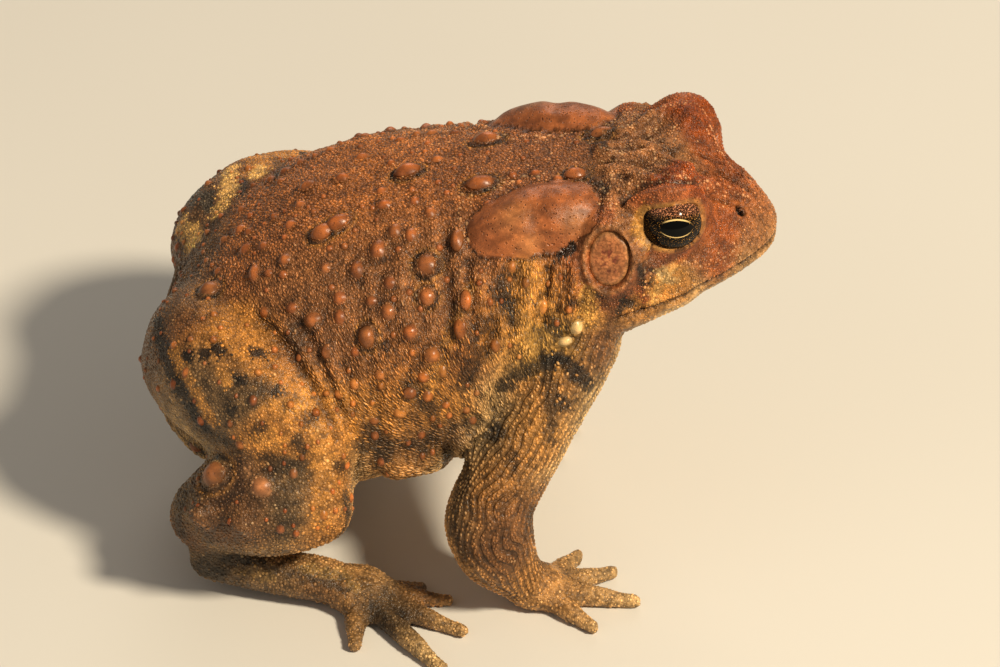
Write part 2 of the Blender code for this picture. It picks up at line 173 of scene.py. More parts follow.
# How far round each the faces are split finer, in mm. The first eye has a second split.
FINE_EYE, FINE_DRUM, FINE_NOSTRIL, FINE_MOUTH, FINE_NECK, FINER_EYE = 7.6, 5.6, 2.4, 1.6, 4.4, 5.3
# Painted highlights on the gland: pixel and reach in mm.
GLAND_HIGHLIGHTS_PX = ((575, 222, 1.8), (512, 216, 2.2), (530, 244, 1.6))

# The middle of the foreleg, and how many rows of granules run along it.
ARM_AXIS = ((16.0, 12.5, 35.5), (13.3, 17.0, 28.5), (6.4, 23.6, 15.8), (10.0, 22.8, 4.4))
ARM_ROWS = 32

# Ridges (height over 0) and grooves (height under 0) on the skin: pixels, half width and height.
RIDGES_PX = (
    (((634, 207), (648, 200), (666, 196), (686, 195), (699, 199)), 1.20, 1.15),  # upper lid
    (((623, 203), (633, 192), (650, 184), (680, 181), (700, 184), (709, 194)), 0.55, -0.75),  # behind the lid
    (((622, 189), (640, 177), (664, 173), (688, 173), (712, 182)), 0.75, 0.40),  # crest over the lid
    (((611, 172), (614, 190), (609, 210), (600, 226)), 0.9, 0.45),  # crest behind the eye
    (((602, 149), (619, 143), (636, 143), (651, 151), (666, 161), (686, 172)), 0.80, 0.95),  # crown crest
    (((604, 161), (624, 156), (644, 164), (662, 174)), 0.8, -0.65),  # hollow beside the crest
    (((600, 169), (620, 169), (640, 178)), 0.6, 0.55),
    (((640, 150), (655, 150), (668, 152)), 0.8, -0.5),  # foot of the far lid
    (((694, 161), (716, 169), (735, 178), (752, 190)), 0.7, 0.55),  # edge of the snout
    (((704, 184), (722, 188), (738, 194), (752, 203)), 0.6, 0.60),  # from the eye to the nostril
    (((704, 192), (716, 198), (730, 202)), 0.6, -0.45),
    (((566, 268), (562, 290), (557, 312)), 0.5, -0.40),  # folds behind the ear
    (((576, 262), (574, 285), (570, 308)), 0.5, 0.35),
    (((585, 272), (584, 295), (580, 318)), 0.45, -0.35),
    (((549, 270), (546, 296), (545, 322)), 0.5, -0.40),
    (((557, 268), (553, 292), (549, 318)), 0.5, 0.30),
    (((597, 298), (596, 312), (590, 322)), 0.45, 0.3),
    (((604, 289), (628, 300), (640, 308)), 0.7, -0.3),  # under the eardrum
    (((539, 192), (534, 212), (541, 244)), 1.3, -0.35),  # between the gland's lobes
    (((470, 262), (466, 285), (470, 310)), 0.7, -0.3),  # behind the gland
    (((455, 215), (452, 240), (458, 262)), 0.7, -0.3),
    (((630, 323), (655, 312), (682, 300)), 2.0, 0.65),  # under the jaw
    (((395, 462), (425, 456), (452, 447), (466, 436)), 2.6, 2.1),  # edge of the belly
    (((478, 405), (492, 420), (478, 432)), 0.9, 0.5),  # fold at the armpit
    (((455, 222), (458, 260), (463, 300), (468, 340)), 0.8, 0.42),  # upright folds of the flank
    (((445, 232), (447, 270), (451, 310), (452, 340)), 0.7, -0.35),
    (((478, 268), (484, 300), (484, 330)), 0.8, 0.40),
    (((434, 225), (433, 262), (436, 300), (432, 335)), 0.7, 0.30),
    (((505, 330), (500, 360), (486, 392)), 0.8, 0.40),
    (((494, 322), (486, 352), (470, 385)), 0.7, -0.35),
    (((530, 262), (528, 300), (520, 342)), 0.9, 0.38),
    (((514, 300), (508, 335)), 0.7, -0.35),
    (((404, 250), (402, 285), (406, 320)), 0.7, 0.28),
    (((372, 275), (372, 305), (380, 335)), 0.7, 0.28),
    (((262, 318), (290, 350), (318, 395), (338, 440)), 0.8, -0.45),  # groin folds
    (((282, 322), (306, 352), (327, 395), (344, 436)), 0.7, 0.35),
    (((300, 322), (318, 350), (334, 392), (347, 430)), 0.6, -0.35),
    (((318, 325), (330, 352), (341, 385), (350, 420)), 0.6, 0.25),
)

# Main warts of the picture's side: pixel, half sizes across and along in pixels, and for some a turn in
# degrees and whether a dark ring lies round it.
WARTS_PX = (
    (480, 183, 15, 10, 10, 1), (407, 171, 14, 11, 15, 1), (384, 205, 9, 7), (575, 174, 12, 9, 0, 1),
    (322, 232, 13, 10, 25, 1), (337, 223, 14, 10, 25, 1), (307, 186, 10, 8), (342, 178, 9, 7),
    (426, 265, 11, 12, 0, 1), (427, 297, 9, 10, 0, 1), (378, 250, 9, 12), (357, 270, 8, 11),
    (390, 283, 8, 8), (388, 312, 9, 10), (367, 337, 9, 12, 0, 1), (410, 332, 9, 10), (432, 355, 9, 9),
    (460, 328, 8, 12), (313, 320, 10, 9), (395, 231, 8, 10), (411, 235, 7, 9), (457, 240, 7, 13),
    (340, 298, 8, 8), (340, 317, 7, 9), (292, 308, 7, 7), (255, 273, 8, 12), (246, 249, 9, 8),
    (326, 268, 7, 7), (265, 312, 7, 7), (209, 290, 12, 13, 0, 1), (263, 246, 6, 6), (285, 260, 8, 8),
    (543, 306, 7, 10), (355, 352, 6, 6), (380, 375, 6, 6), (423, 377, 7, 7), (410, 393, 8, 7, 0, 1),
    (399, 413, 8, 6), (374, 421, 6, 5), (355, 384, 7, 7), (338, 394, 6, 6), (326, 352, 6, 9),
    (446, 405, 5, 5), (240, 230, 8, 8), (290, 225, 8, 7), (430, 213, 7, 8), (362, 158, 9, 7),
    (437, 160, 8, 6), (215, 474, 17, 15, 0, 1), (262, 487, 13, 12), (192, 452, 8, 7), (240, 445, 6, 6),
    (495, 345, 6, 8), (466, 300, 7, 11), (300, 205, 7, 6),
)
# Warts of the far side that the camera sees over the back.
FAR_WARTS_PX = (
    (486, 140, 15, 12, 0, 1), (600, 134, 14, 8, 0, 1), (365, 137, 8, 6), (432, 134, 8, 6), (455, 133, 7, 5),
    (285, 172, 8, 7), (400, 140, 7, 5), (330, 150, 7, 5),
)
CREAM_TUBERCLES_PX = (
    (577, 328, 8, 9), (565, 341, 9, 6, 20, 0),
)

# Soft zones of the base colour: pixel, reach in pixels, colour.
ZONES_PX = (
    (300, 170, 45, BACK_BROWN), (400, 150, 50, RUST), (350, 200, 40, RUST), (450, 150, 45, BACK_BROWN),
    (530, 150, 35, BACK_BROWN), (430, 190, 35, RUST), (270, 230, 40, RUST), (300, 280, 40, FLANK_BROWN),
    (400, 240, 40, FLANK_BROWN), (440, 250, 30, FLANK_BROWN), (360, 300, 45, FLANK_BROWN),
    (430, 320, 40, FLANK_BROWN), (400, 360, 35, FLANK_LOW), (350, 350, 30, FLANK_BROWN),
    (370, 405, 30, FLANK_YELLOW), (340, 410, 22, OCHRE), (420, 440, 30, UMBER),
    (400, 460, 22, ARM_OCHRE), (440, 400, 26, OCHRE), (460, 350, 22, FLANK_LOW), (480, 300, 22, FLANK_LOW),
    (500, 330, 22, OCHRE), (535, 290, 20, YELLOW_OCHRE), (540, 330, 24, GREEN_OCHRE), (520, 262, 14, OCHRE),
    (570, 295, 16, FLANK_LOW), (590, 310, 12, NECK_YELLOW), (550, 350, 20, GREEN_OCHRE),
    (600, 350, 22, ARM_BROWN), (480, 268, 18, FLANK_BROWN), (560, 230, 30, GLAND), (505, 222, 30, GLAND),
    (535, 222, 30, GLAND), (455, 300, 20, FLANK_BROWN), (620, 160, 20, CROWN), (650, 165, 18, CROWN),
    (600, 190, 14, CROWN), (690, 165, 20, SNOUT), (730, 190, 24, SNOUT), (760, 220, 24, SNOUT),
    (720, 225, 20, SNOUT), (720, 255, 18, SNOUT), (690, 245, 12, SNOUT), (672, 190, 12, LID),
    (640, 196, 10, LID), (706, 195, 10, LID), (628, 222, 10, CROWN), (640, 252, 10, LID),
    (668, 258, 9, LID), (620, 235, 8, CROWN), (670, 276, 9, YELLOW_OCHRE), (655, 290, 12, OCHRE),
    (680, 290, 10, ARM_OCHRE), (640, 310, 12, ARM_OCHRE), (625, 285, 16, CHEEK_DARK),
    (640, 270, 10, CHEEK_DARK), (610, 305, 12, CHEEK_DARK), (604, 258, 18, GLAND), (590, 240, 10, CROWN),
    (540, 400, 22, ARM_OCHRE), (560, 370, 16, ARM_OCHRE), (520, 450, 22, ARM_OCHRE),
    (500, 490, 22, ARM_OCHRE), (535, 430, 20, YELLOW_OCHRE), (520, 525, 32, ARM_BROWN),
    # The umber zone at (180, 535) is painted shade at the rear of the hind leg.
    (505, 505, 18, ARM_BROWN), (520, 545, 16, UMBER), (212, 562, 16, SLATE), (180, 535, 16, UMBER),
    (500, 550, 22, ARM_BROWN), (225, 335, 26, OCHRE), (200, 370, 18, GREY_BROWN), (260, 350, 24, OCHRE),
    (190, 330, 16, ARM_BROWN), (240, 390, 18, GREY_BROWN), (300, 400, 20, OCHRE), (270, 430, 18, ARM_OCHRE),
    (320, 440, 18, ARM_OCHRE), (290, 350, 18, FLANK_BROWN), (205, 420, 16, GREY_BROWN),
    (240, 500, 24, UMBER), (215, 520, 22, UMBER), (290, 500, 20, GREY_BROWN), (335, 490, 18, ARM_OCHRE),
    (330, 530, 18, ARM_OCHRE), (190, 490, 18, GREY_BROWN), (250, 575, 24, GREY_BROWN),
    (320, 590, 18, UMBER), (390, 600, 24, SLATE), (420, 630, 20, TOE_OCHRE),
)
# Zones that the picture doesn't show: place on the left and reach, in mm, and colour.
HIDDEN_ZONES = (
    ((0, 0, 12), 14, BELLY), ((-25, 0, 8), 12, BELLY), ((15, 0, 24), 9, BELLY), ((28, 0, 38), 7, THROAT),
    ((34, 0, 43), 5, THROAT), ((22, 6, 36), 5, THROAT), ((-38, 0, 20), 9, GREY_BROWN),
    ((-40, 6, 30), 7, UMBER), ((-10, 16, 10), 8, BELLY), ((-12, 20, 8), 7, ARM_OCHRE),
    ((-22, 22, 4), 7, GREY_BROWN), ((10, 14, 26), 7, BELLY), ((8, 18, 10), 7, ARM_OCHRE),
)

# Dark and bright marks: colour, strength, width of the ragged edge in mm, and one or more paths with
# their half widths, all in pixels.
MARKS_PX = (
    (SLATE, 0.85, 0.9, ((500, 283, 6), (506, 300, 8), (512, 312, 7))),
    (SLATE, 0.9, 0.6, ((518, 256, 4), (521, 262, 4))),
    (NEAR_BLACK, 0.95, 0.4, ((561, 256, 4), (569, 251, 5), (574, 248, 4))),
    (NEAR_BLACK, 0.75, 2.0, ((484, 325, 4), (475, 355, 9), (464, 385, 8))),
    (SLATE, 0.8, 0.9,
     ((548, 311, 4), (553, 325, 6), (556, 335, 4)),
     ((505, 388, 6), (520, 372, 7), (545, 364, 7), (562, 358, 6))),
    (NEAR_BLACK, 0.9, 0.7, ((552, 360, 5), (566, 361, 6), (576, 372, 8), (590, 385, 4))),
    (SLATE, 0.7, 1.0, ((548, 368, 4), (552, 400, 5), (550, 425, 4), (549, 450, 4))),
    (NEAR_BLACK, 0.85, 0.5, ((562, 398, 4), (568, 404, 5))),
    (NEAR_BLACK, 0.62, 2.4, ((484, 432, 6), (492, 448, 8), (508, 462, 6))),
    (SLATE, 0.8, 0.9, ((494, 428, 5), (500, 436, 5))),
    (NEAR_BLACK, 0.62, 2.4, ((466, 468, 6), (459, 500, 12), (455, 530, 11), (464, 552, 8))),
    (SLATE, 0.6, 1.2, ((470, 500, 5), (474, 515, 4))),
    (SLATE, 0.6, 1.1, ((530, 515, 7), (538, 535, 8), (535, 555, 6))),
    (NEAR_BLACK, 0.8, 0.5, ((382, 345, 4), (385, 351, 4))),
    (SLATE, 0.65, 1.2, ((292, 330, 8), (300, 345, 8))),
    (SLATE, 0.75, 1.0, ((408, 385, 5), (424, 400, 8), (432, 408, 7))),
    (SLATE, 0.75, 1.4, ((372, 430, 8), (386, 445, 12), (380, 460, 8))),
    (SLATE, 0.7, 1.2, ((415, 445, 9), (428, 438, 7))),
    (SLATE, 0.65, 1.0, ((352, 445, 6), (362, 452, 6))),
    (SLATE, 0.55, 1.0, ((440, 432, 4), (470, 422, 4))),
    (NEAR_BLACK, 0.9, 0.8, ((158, 320, 7), (166, 352, 8), (182, 392, 9), (203, 425, 9))),
    (NEAR_BLACK, 0.95, 0.4, ((188, 357, 7),), ((203, 356, 6),), ((218, 350, 7),)),
    (SLATE, 0.55, 1.6, ((226, 360, 6), (236, 372, 9), (244, 380, 5))),
    (SLATE, 0.45, 1.6, ((208, 380, 8), (228, 402, 9))),
    (NEAR_BLACK, 0.9, 0.4,
     ((238, 380, 6),), ((276, 390, 5),), ((232, 410, 6),), ((252, 350, 4), (262, 352, 4))),
    (YELLOW_OCHRE, 0.7, 1.0, ((228, 384, 5), (222, 372, 5))),
    (YELLOW_OCHRE, 0.6, 1.0, ((262, 402, 6), (282, 408, 6))),
    (SLATE, 0.6, 1.2, ((262, 385, 7), (278, 392, 6), (250, 400, 8))),
    (NEAR_BLACK, 0.8, 0.7, ((312, 415, 5), (314, 421, 5)), ((256, 432, 7), (262, 428, 5))),
    (SLATE, 0.8, 0.9, ((298, 440, 6), (304, 450, 5))),
    (SLATE, 0.7, 1.0, ((222, 438, 6), (232, 446, 6))),
    (SLATE, 0.75, 1.4, ((266, 460, 7), (286, 466, 9), (303, 462, 7))),
    (PINK_CREAM, 0.7, 0.9, ((246, 472, 5), (256, 484, 8), (268, 498, 5))),
    (PINK_CREAM, 0.6, 0.9, ((206, 478, 7), (218, 486, 8), (232, 476, 5))),
    (UMBER_BLACK, 0.75, 0.9, ((194, 466, 5), (199, 492, 6), (220, 503, 5), (240, 492, 5), (238, 462, 4))),
    (NEAR_BLACK, 0.8, 0.8, ((334, 466, 6), (342, 470, 4))),
    (SLATE, 0.45, 1.5, ((280, 500, 9), (292, 520, 10), (285, 535, 8), (305, 540, 5))),
    (SLATE, 0.8, 0.9, ((345, 498, 5), (348, 515, 6), (344, 530, 4))),
    # This slate mark is painted shade at the rear of the hind leg.
    (SLATE, 0.6, 1.3, ((176, 470, 8), (182, 500, 8), (178, 530, 8)), ((200, 500, 6), (210, 540, 6))),
    (NEAR_BLACK, 0.8, 0.8, ((600, 293, 4), (605, 301, 4))),
    (NEAR_BLACK, 0.8, 0.7, ((616, 306, 4), (620, 312, 3)), ((650, 270, 2), (651, 284, 2))),
    (NEAR_BLACK, 0.7, 0.8, ((571, 299, 4), (573, 304, 4))),
    (SLATE, 0.8, 0.8, ((588, 180, 4), (597, 184, 5), (603, 190, 4))),
    (SLATE, 0.6, 1.0, ((628, 252, 3), (634, 265, 4), (640, 280, 4))),
    (SLATE, 0.45, 1.0, ((245, 560, 6), (290, 572, 4), (330, 570, 6), (365, 585, 6))),
    (SLATE, 0.7, 1.0, ((180, 560, 10), (215, 575, 10))),
    (YELLOW_OCHRE, 0.7, 1.2,
     ((470, 290, 5), (455, 330, 5), (440, 370, 5), (430, 392, 5)),
     ((520, 262, 7), (532, 285, 11), (540, 310, 11))),
    (EAR_YELLOW, 0.85, 1.0, ((588, 290, 6), (591, 306, 7), (584, 322, 6))),
    (CHEEK_DARK, 0.85, 1.0, ((606, 304, 9), (622, 292, 12), (638, 276, 9), (643, 262, 5))),
    (EYE_RING, 0.95, 0.4, ((646, 208, 3), (639, 214, 4), (637, 228, 5), (641, 240, 3))),
    (CROWN, 0.85, 0.8, ((620, 208, 6), (618, 226, 7), (627, 246, 6), (640, 258, 6), (652, 262, 4))),
    # Painted shade in the groove behind the lid.
    (UMBER_BLACK, 0.7, 0.4, ((623, 203, 2), (633, 192, 2), (650, 184, 2), (680, 181, 2), (700, 184, 2))),
    (CREAM, 0.6, 1.0, ((652, 300, 3), (658, 286, 4), (663, 273, 5), (674, 267, 5))),
    (PALE_CREAM, 0.55, 0.9, ((660, 270, 3), (668, 278, 4), (676, 280, 3))),
    (NEAR_BLACK, 0.85, 0.6, ((640, 268, 3), (643, 290, 3)), ((622, 300, 3), (632, 304, 3))),
    (WART_RED, 0.85, 0.6, ((628, 280, 4), (615, 296, 3)), ((645, 300, 3), (638, 292, 3))),
    (YELLOW_OCHRE, 0.6, 1.2, ((175, 350, 4), (192, 385, 5), (213, 420, 5))),
    (YELLOW_OCHRE, 0.7, 1.2, ((288, 405, 9), (308, 402, 8))),
    (YELLOW_OCHRE, 0.6, 1.2,
     ((255, 440, 6), (280, 440, 8)), ((318, 430, 6), (324, 460, 10), (324, 490, 10), (318, 525, 8))),
    (FOOT_OLIVE, 0.75, 0.8, ((300, 566, 4), (322, 572, 6), (346, 574, 6), (356, 588, 5))),
    (SLATE, 0.75, 0.7, ((306, 577, 3), (328, 584, 3), (350, 588, 3))),
    (SLATE, 0.6, 0.8, ((226, 556, 6), (262, 560, 4))),
    (FOOT_OLIVE, 0.6, 0.8, ((236, 572, 5), (270, 574, 5))),
    (SLATE, 0.6, 0.8, ((372, 604, 4), (392, 628, 4))),
)
FAR_MARKS_PX = (
    (THIGH_SHADE, 0.95, 0.9, ((196, 200, 8), (208, 196, 9), (210, 206, 8))),
    (SLATE, 0.9, 0.8, ((240, 180, 5), (244, 192, 5))),
    (SLATE, 0.6, 1.2, ((262, 150, 8), (278, 160, 7))),
    (CREAM, 1.0, 1.2, ((230, 168, 8), (228, 195, 9), (220, 212, 8)), ((256, 175, 8), (262, 168, 7))),
    (CREAM, 1.0, 1.4, ((182, 225, 11), (195, 240, 13))),
    (NEAR_BLACK, 0.8, 0.6, ((588, 132, 4), (592, 140, 5), (602, 143, 4), (610, 131, 4))),
    # Painted shade at the foot of the far lid.
    (NEAR_BLACK, 0.7, 0.7, ((662, 142, 3), (670, 148, 4), (676, 150, 3))),
)

# ------------------------------------------------------------------ small helpers


def deselect_all():
    if bpy.context.object and bpy.context.object.mode != "OBJECT":
        bpy.ops.object.mode_set(mode="OBJECT")
    bpy.ops.object.select_all(action="DESELECT")


def only(piece):
    """Makes piece the active object and the only one selected."""
    deselect_all()
    piece.select_set(True)
    bpy.context.view_layer.objects.active = piece


def apply_all(piece):
    only(piece)
    for modifier in list(piece.modifiers):
        bpy.ops.object.modifier_apply(modifier=modifier.name)


def edit_all(piece, step):
    """Runs a step of mesh editing on the whole of a piece."""
    only(piece)
    bpy.ops.object.mode_set(mode="EDIT")
    bpy.ops.mesh.select_all(action="SELECT")
    step()
    bpy.ops.object.mode_set(mode="OBJECT")


def face_outward(piece):
    edit_all(piece, lambda: bpy.ops.mesh.normals_make_consistent(inside=False))
    bpy.ops.object.shade_smooth()


def new_object(name, data):
    piece = bpy.data.objects.new(name, data)
    bpy.context.scene.collection.objects.link(piece)
    return piece


def read(rows, field, width, kind=float):
    """One field of a mesh's points, edges or faces, as a row of numbers for each."""
    flat = np.empty(len(rows) * width, kind)
    rows.foreach_get(field, flat)
    return flat.reshape(-1, width)


def points_of(mesh):
    return read(mesh.vertices, "co", 3) / MM


def put_points(mesh, points):
    mesh.vertices.foreach_set("co", (points * MM).ravel())
    mesh.update()


def outward_of(mesh):
    return read(mesh.vertex_normals, "vector", 3)


def edges_of(mesh):
    return read(mesh.edges, "vertices", 2, int)


def write(mesh, name, kind, field, values):
    """Stores a value, vector or colour on each point of a mesh."""
    mesh.attributes.new(name, kind, "POINT").data.foreach_set(field, np.ravel(values))


def write_colour(mesh, colours):
    solid = np.column_stack([np.clip(colours, 0, 1), np.ones(len(colours))])
    write(mesh, "paint", "FLOAT_COLOR", "color", solid)


def unit(v):
    v = np.asarray(v, float)
    return v / np.maximum(np.linalg.norm(v, axis=-1, keepdims=True), 1e-12)


def on_side(place, side):
    """A place, path or direction as it is, or mirrored to the other side of the toad if side is -1."""
    return np.asarray(place, float) * (1, side, 1)


def distance(points, place):
    return np.linalg.norm(points - np.asarray(place), axis=1)


def of_kind(kind, *names):
    """Which of the points or faces are of these kinds of flesh."""
    return np.isin(kind, [KINDS.index(name) for name in names])


def smooth_step(low, high, values):
    t = np.clip((values - low) / (high - low), 0, 1)
    return t * t * (3 - 2 * t)


def bell(away, width):
    return np.exp(-((away / width) ** 2))


def blend(colour, tint, mask):
    return colour + mask[:, None] * (np.array(tint) - colour)


def lumps(points, size, seed):
    """Smooth noise from -1 to 1, its lumps about size mm across."""
    cells = 32
    table = np.random.default_rng(seed).uniform(-1, 1, (cells,) * 3)
    q = points / size + seed * 7.31
    base = np.floor(q).astype(int)
    f = q - base
    f = f * f * (3 - 2 * f)
    total = np.zeros(len(points))
    for corner in product((0, 1), repeat=3):
        weight = np.ones(len(points))
        for axis in range(3):
            weight *= f[:, axis] if corner[axis] else 1 - f[:, axis]
        cell = (base + corner) % cells
        total += weight * table[cell[:, 0], cell[:, 1], cell[:, 2]]
    return total


def lump_sum(points, seed, *parts, base=0.0):
    """Lumps of several sizes on one another: the size in mm and the share of each part."""
    for number, (size, share) in enumerate(parts):
        base = base + share * lumps(points, size, seed + number)
    return base


def neighbour_mean(values, edges, count):
    flat = values.reshape(len(values), -1)
    total = np.empty_like(flat)
    ends = edges.T
    for column in range(flat.shape[1]):
        total[:, column] = sum(np.bincount(a, flat[b, column], len(flat)) for a, b in (ends, ends[::-1]))
    return (total / count[:, None]).reshape(values.shape)


def neighbour_count(edges, size):
    return np.maximum(np.bincount(edges.ravel(), minlength=size), 1).astype(float)


def spread(values, edges, rounds):
    """Values on the skin's points, made softer from point to point."""
    count = neighbour_count(edges, len(values))
    for _ in range(rounds):
        values = 0.5 * values + 0.5 * neighbour_mean(values, edges, count)
    return values


def path_depth(points, path, radii):
    """How far inside a path of balls each point lies, in mm. It is negative outside."""
    outside = -99.0
    path, radii = np.asarray(path, float), np.asarray(radii, float)
    best = np.full(len(points), outside)
    reach = radii.max() + 6.0
    near = np.where(((points > path.min(0) - reach) & (points < path.max(0) + reach)).all(1))[0]
    if not len(near):
        return best
    p, found = points[near], best[near]
    if len(path) == 1:
        path, radii = np.repeat(path, 2, 0), np.repeat(radii, 2)
    for a, b, ra, rb in zip(path, path[1:], radii, radii[1:]):
        along = b - a
        t = np.clip((p - a) @ along / max(along @ along, 1e-9), 0, 1)
        found = np.maximum(found, ra + (rb - ra) * t - distance(p, a + t[:, None] * along))
    best[near] = found
    return best


# ------------------------------------------------------------------ the skin


def flesh_copy(name, node):
    """A merged, slightly swollen copy of a solid, its faces marked with the kind of flesh."""
    piece = new_object(name + "_flesh", node.data.copy())
    edit_all(piece, lambda: bpy.ops.mesh.remove_doubles(threshold=0.01 * MM))
    kind = name.removesuffix("_left").removesuffix("_right")
    swell = piece.modifiers.new("swell", "DISPLACE")
    swell.strength = (EYE_SWELL if kind == "eye" else SWELL) * MM
    swell.mid_level = 0
    apply_all(piece)
    mark = piece.data.attributes.new("kind", "INT", "FACE")
    mark.data.foreach_set("value", np.full(len(piece.data.polygons), KINDS.index(kind)))
    return piece


def tree_of(mesh, measure=MM):
    corners = [tuple(p.vertices) for p in mesh.polygons]
    return BVHTree.FromPolygons([v.co / measure for v in mesh.vertices], corners)


def melt_flesh():
    """One closed skin over all the solids, and the kind of flesh nearest to each of its points."""
    copies = [flesh_copy(name, node) for name, node in sorted(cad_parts.items())]
    deselect_all()
    for piece in copies:
        piece.select_set(True)
    bpy.context.view_layer.objects.active = copies[0]
    bpy.ops.object.join()
    skin = bpy.context.object
    kinds = read(skin.data.attributes["kind"].data, "value", 1, int)[:, 0]
    tree = tree_of(skin.data, 1.0)
    remesh = skin.modifiers.new("melt", "REMESH")
    remesh.mode = "VOXEL"
    remesh.voxel_size = VOXEL * MM
    apply_all(skin)
    skin.data.materials.clear()
    skin = keep_largest(skin)
    return skin, kinds[[tree.find_nearest(v.co)[2] for v in skin.data.vertices]]


def keep_largest(skin):
    only(skin)
    bpy.ops.mesh.separate(type="LOOSE")
    parts = sorted(bpy.context.selected_objects, key=lambda o: -len(o.data.vertices))
    for scrap in parts[1:]:
        bpy.data.objects.remove(scrap)
    parts[0].name = "skin"
    only(parts[0])
    return parts[0]


def smooth_skin(points, edges, kind):
    """Rounds off the facets and the steps where solids meet, least on the digits and the face."""
    count = neighbour_count(edges, len(points))
    wanted = spread(np.array([SMOOTH_ROUNDS[name] for name in KINDS], float)[kind], edges, 8)
    for turn in range(int(wanted.max()) + 1):
        share = np.clip(wanted - turn, 0, 1)[:, None] * 0.8
        points = points + share * (neighbour_mean(points, edges, count) - points)
    return points


def refine(skin, places, reach):
    """Splits the faces near the places once, for the finer forms of the face."""
    only(skin)
    points = points_of(skin.data)
    near = np.zeros(len(points), bool)
    for place, size in zip(places, reach):
        near |= distance(points, place) < size
    bm = bmesh.new()
    bm.from_mesh(skin.data)
    bm.verts.ensure_lookup_table()
    faces = {f for i in np.where(near)[0] for f in bm.verts[i].link_faces}
    edges = {e for f in faces for e in f.edges}
    bmesh.ops.subdivide_edges(bm, edges=list(edges), cuts=1, use_grid_fill=True)
    bm.to_mesh(skin.data)
    bm.free()
    skin.data.update()


def settle(mesh, rounds, where):
    """A light smoothing of part of the skin."""
    points, edges = points_of(mesh), edges_of(mesh)
    count = neighbour_count(edges, len(points))
    for _ in range(rounds):
        points = points + 0.5 * where[:, None] * (neighbour_mean(points, edges, count) - points)
    put_points(mesh, points)


skin_tree = None


def take_tree(mesh):
    """Rays and searches find the skin as it is now, until this is called again."""
    global skin_tree
    skin_tree = tree_of(mesh)


def on_skin(x, y):
    """The place on the skin that a pixel shows, and its outward direction."""
    way = pixel_ray(x, y)
    place, outward, _, _ = skin_tree.ray_cast(Vector(EYEPOINT), Vector(way))
    if place is None:
        return nearest_skin(EYEPOINT + way * ((CAMERA_TARGET - EYEPOINT) @ way))
    return np.array(place), np.array(outward)


def skin_path(path_px):
    return np.array([on_skin(*row[:2])[0] for row in path_px])


def nearest_skin(place):
    found, outward, _, _ = skin_tree.find_nearest(Vector(place))
    return np.array(found), np.array(outward)


def camera_sees(place):
    hit = skin_tree.ray_cast(Vector(EYEPOINT), Vector(unit(place - EYEPOINT)))
    return hit[0] is None or hit[3] > np.linalg.norm(place - EYEPOINT) - SEEN_WITHIN


def own_frame(way, side):
    """A piece's own directions on one side of the toad: out, forward across it, and up."""
    out = unit(on_side(way, side))
    forward = unit(np.array((1.0, 0.0, 0.0)) - out * out[0])
    up = unit(np.cross(out, forward))
    return out, forward, up if up[2] > 0 else -up


def eye_measure(points, side):
    """Where points lie round an eye: distance from its middle, direction in the eye's own frame, the
    angle of the lids' edge there, and how far out they lie as a share of that angle."""
    out, forward, up = own_frame(GAZE, side)
    from_eye = points - on_side(EYE_MIDDLE, side)
    far = np.maximum(np.linalg.norm(from_eye, axis=1), 1e-6)
    q = from_eye / far[:, None]
    u, v, w = q @ forward, q @ up, q @ out
    a = (u * math.cos(OPENING_TIP) + v * math.sin(OPENING_TIP)) / OPENING_WIDE
    b = (-u * math.sin(OPENING_TIP) + v * math.cos(OPENING_TIP)) / OPENING_HIGH
    b = np.where(b > 0, b * 1.06, b)
    squared = 2 + 1.1 * smooth_step(0.0, 0.5, b)
    share = (np.abs(a) ** squared + np.abs(b) ** squared) ** (1 / squared)
    flat = np.maximum(np.sqrt(u * u + v * v), 1e-6)
    edge = np.arcsin(np.clip(flat / np.maximum(share, 1e-6), 0.05, 0.99))
    return far, (u / flat, v / flat), edge, np.arctan2(flat, w) / edge


def carve_eye_opening(points, side):
    """Opens the lids over the eye: a clean oval edge with a thin raised lip. Points near the edge are
    moved on to it, and points inside it go behind the eyeball's surface."""
    reach, edge_from, edge_to = 8.0, 0.91, 1.08
    middle = on_side(EYE_MIDDLE, side)
    out, forward, up = own_frame(GAZE, side)
    near = distance(points, middle) < reach
    radius, (u, v), edge, m = eye_measure(points[near], side)
    m = np.where((m > edge_from) & (m < edge_to), 1.0, m)
    lip = EYE_RADIUS + 0.06 + LID_LIP * smooth_step(1.0, 1.16, m)
    weight = (1 - smooth_step(1.10, 1.32, m)) * (1 - smooth_step(5.6, 7.2, radius))
    new = np.where(m < 0.99, np.minimum(EYE_RADIUS - 0.75, radius), radius + weight * (lip - radius))
    angle = m * edge
    flat = u[:, None] * forward + v[:, None] * up
    moved = points.copy()
    moved[near] = middle + new[:, None] * (np.cos(angle)[:, None] * out + np.sin(angle)[:, None] * flat)
    return moved


def drum_measure(points, side):
    """Where points lie over an eardrum: how far out, forward and up as shares of its half width and
    height, and the share of its edge that this makes."""
    out, along, up = own_frame(TYMPANUM_OUT, side)
    offset = points - on_side(TYMPANUM, side)
    a, b = offset @ along / TYMPANUM_RADII[0], offset @ up / TYMPANUM_RADII[1]
    return offset @ out, a, b, np.sqrt(a * a + b * b)


def seat_eardrum(points, side):
    """Sinks the skin under the eardrum and raises a thin rim round it."""
    depth, _, _, m = drum_measure(points, side)
    near = (m < 1.8) & (np.abs(depth) < 3)
    target = 0.25 + 0.34 * bell(m - 1.14, 0.12) - 0.80 * (1 - smooth_step(0.84, 1.04, m))
    change = (target - depth) * (1 - smooth_step(1.2, 1.75, m))
    return points + unit(on_side(TYMPANUM_OUT, side)) * np.where(near, change, 0)[:, None]


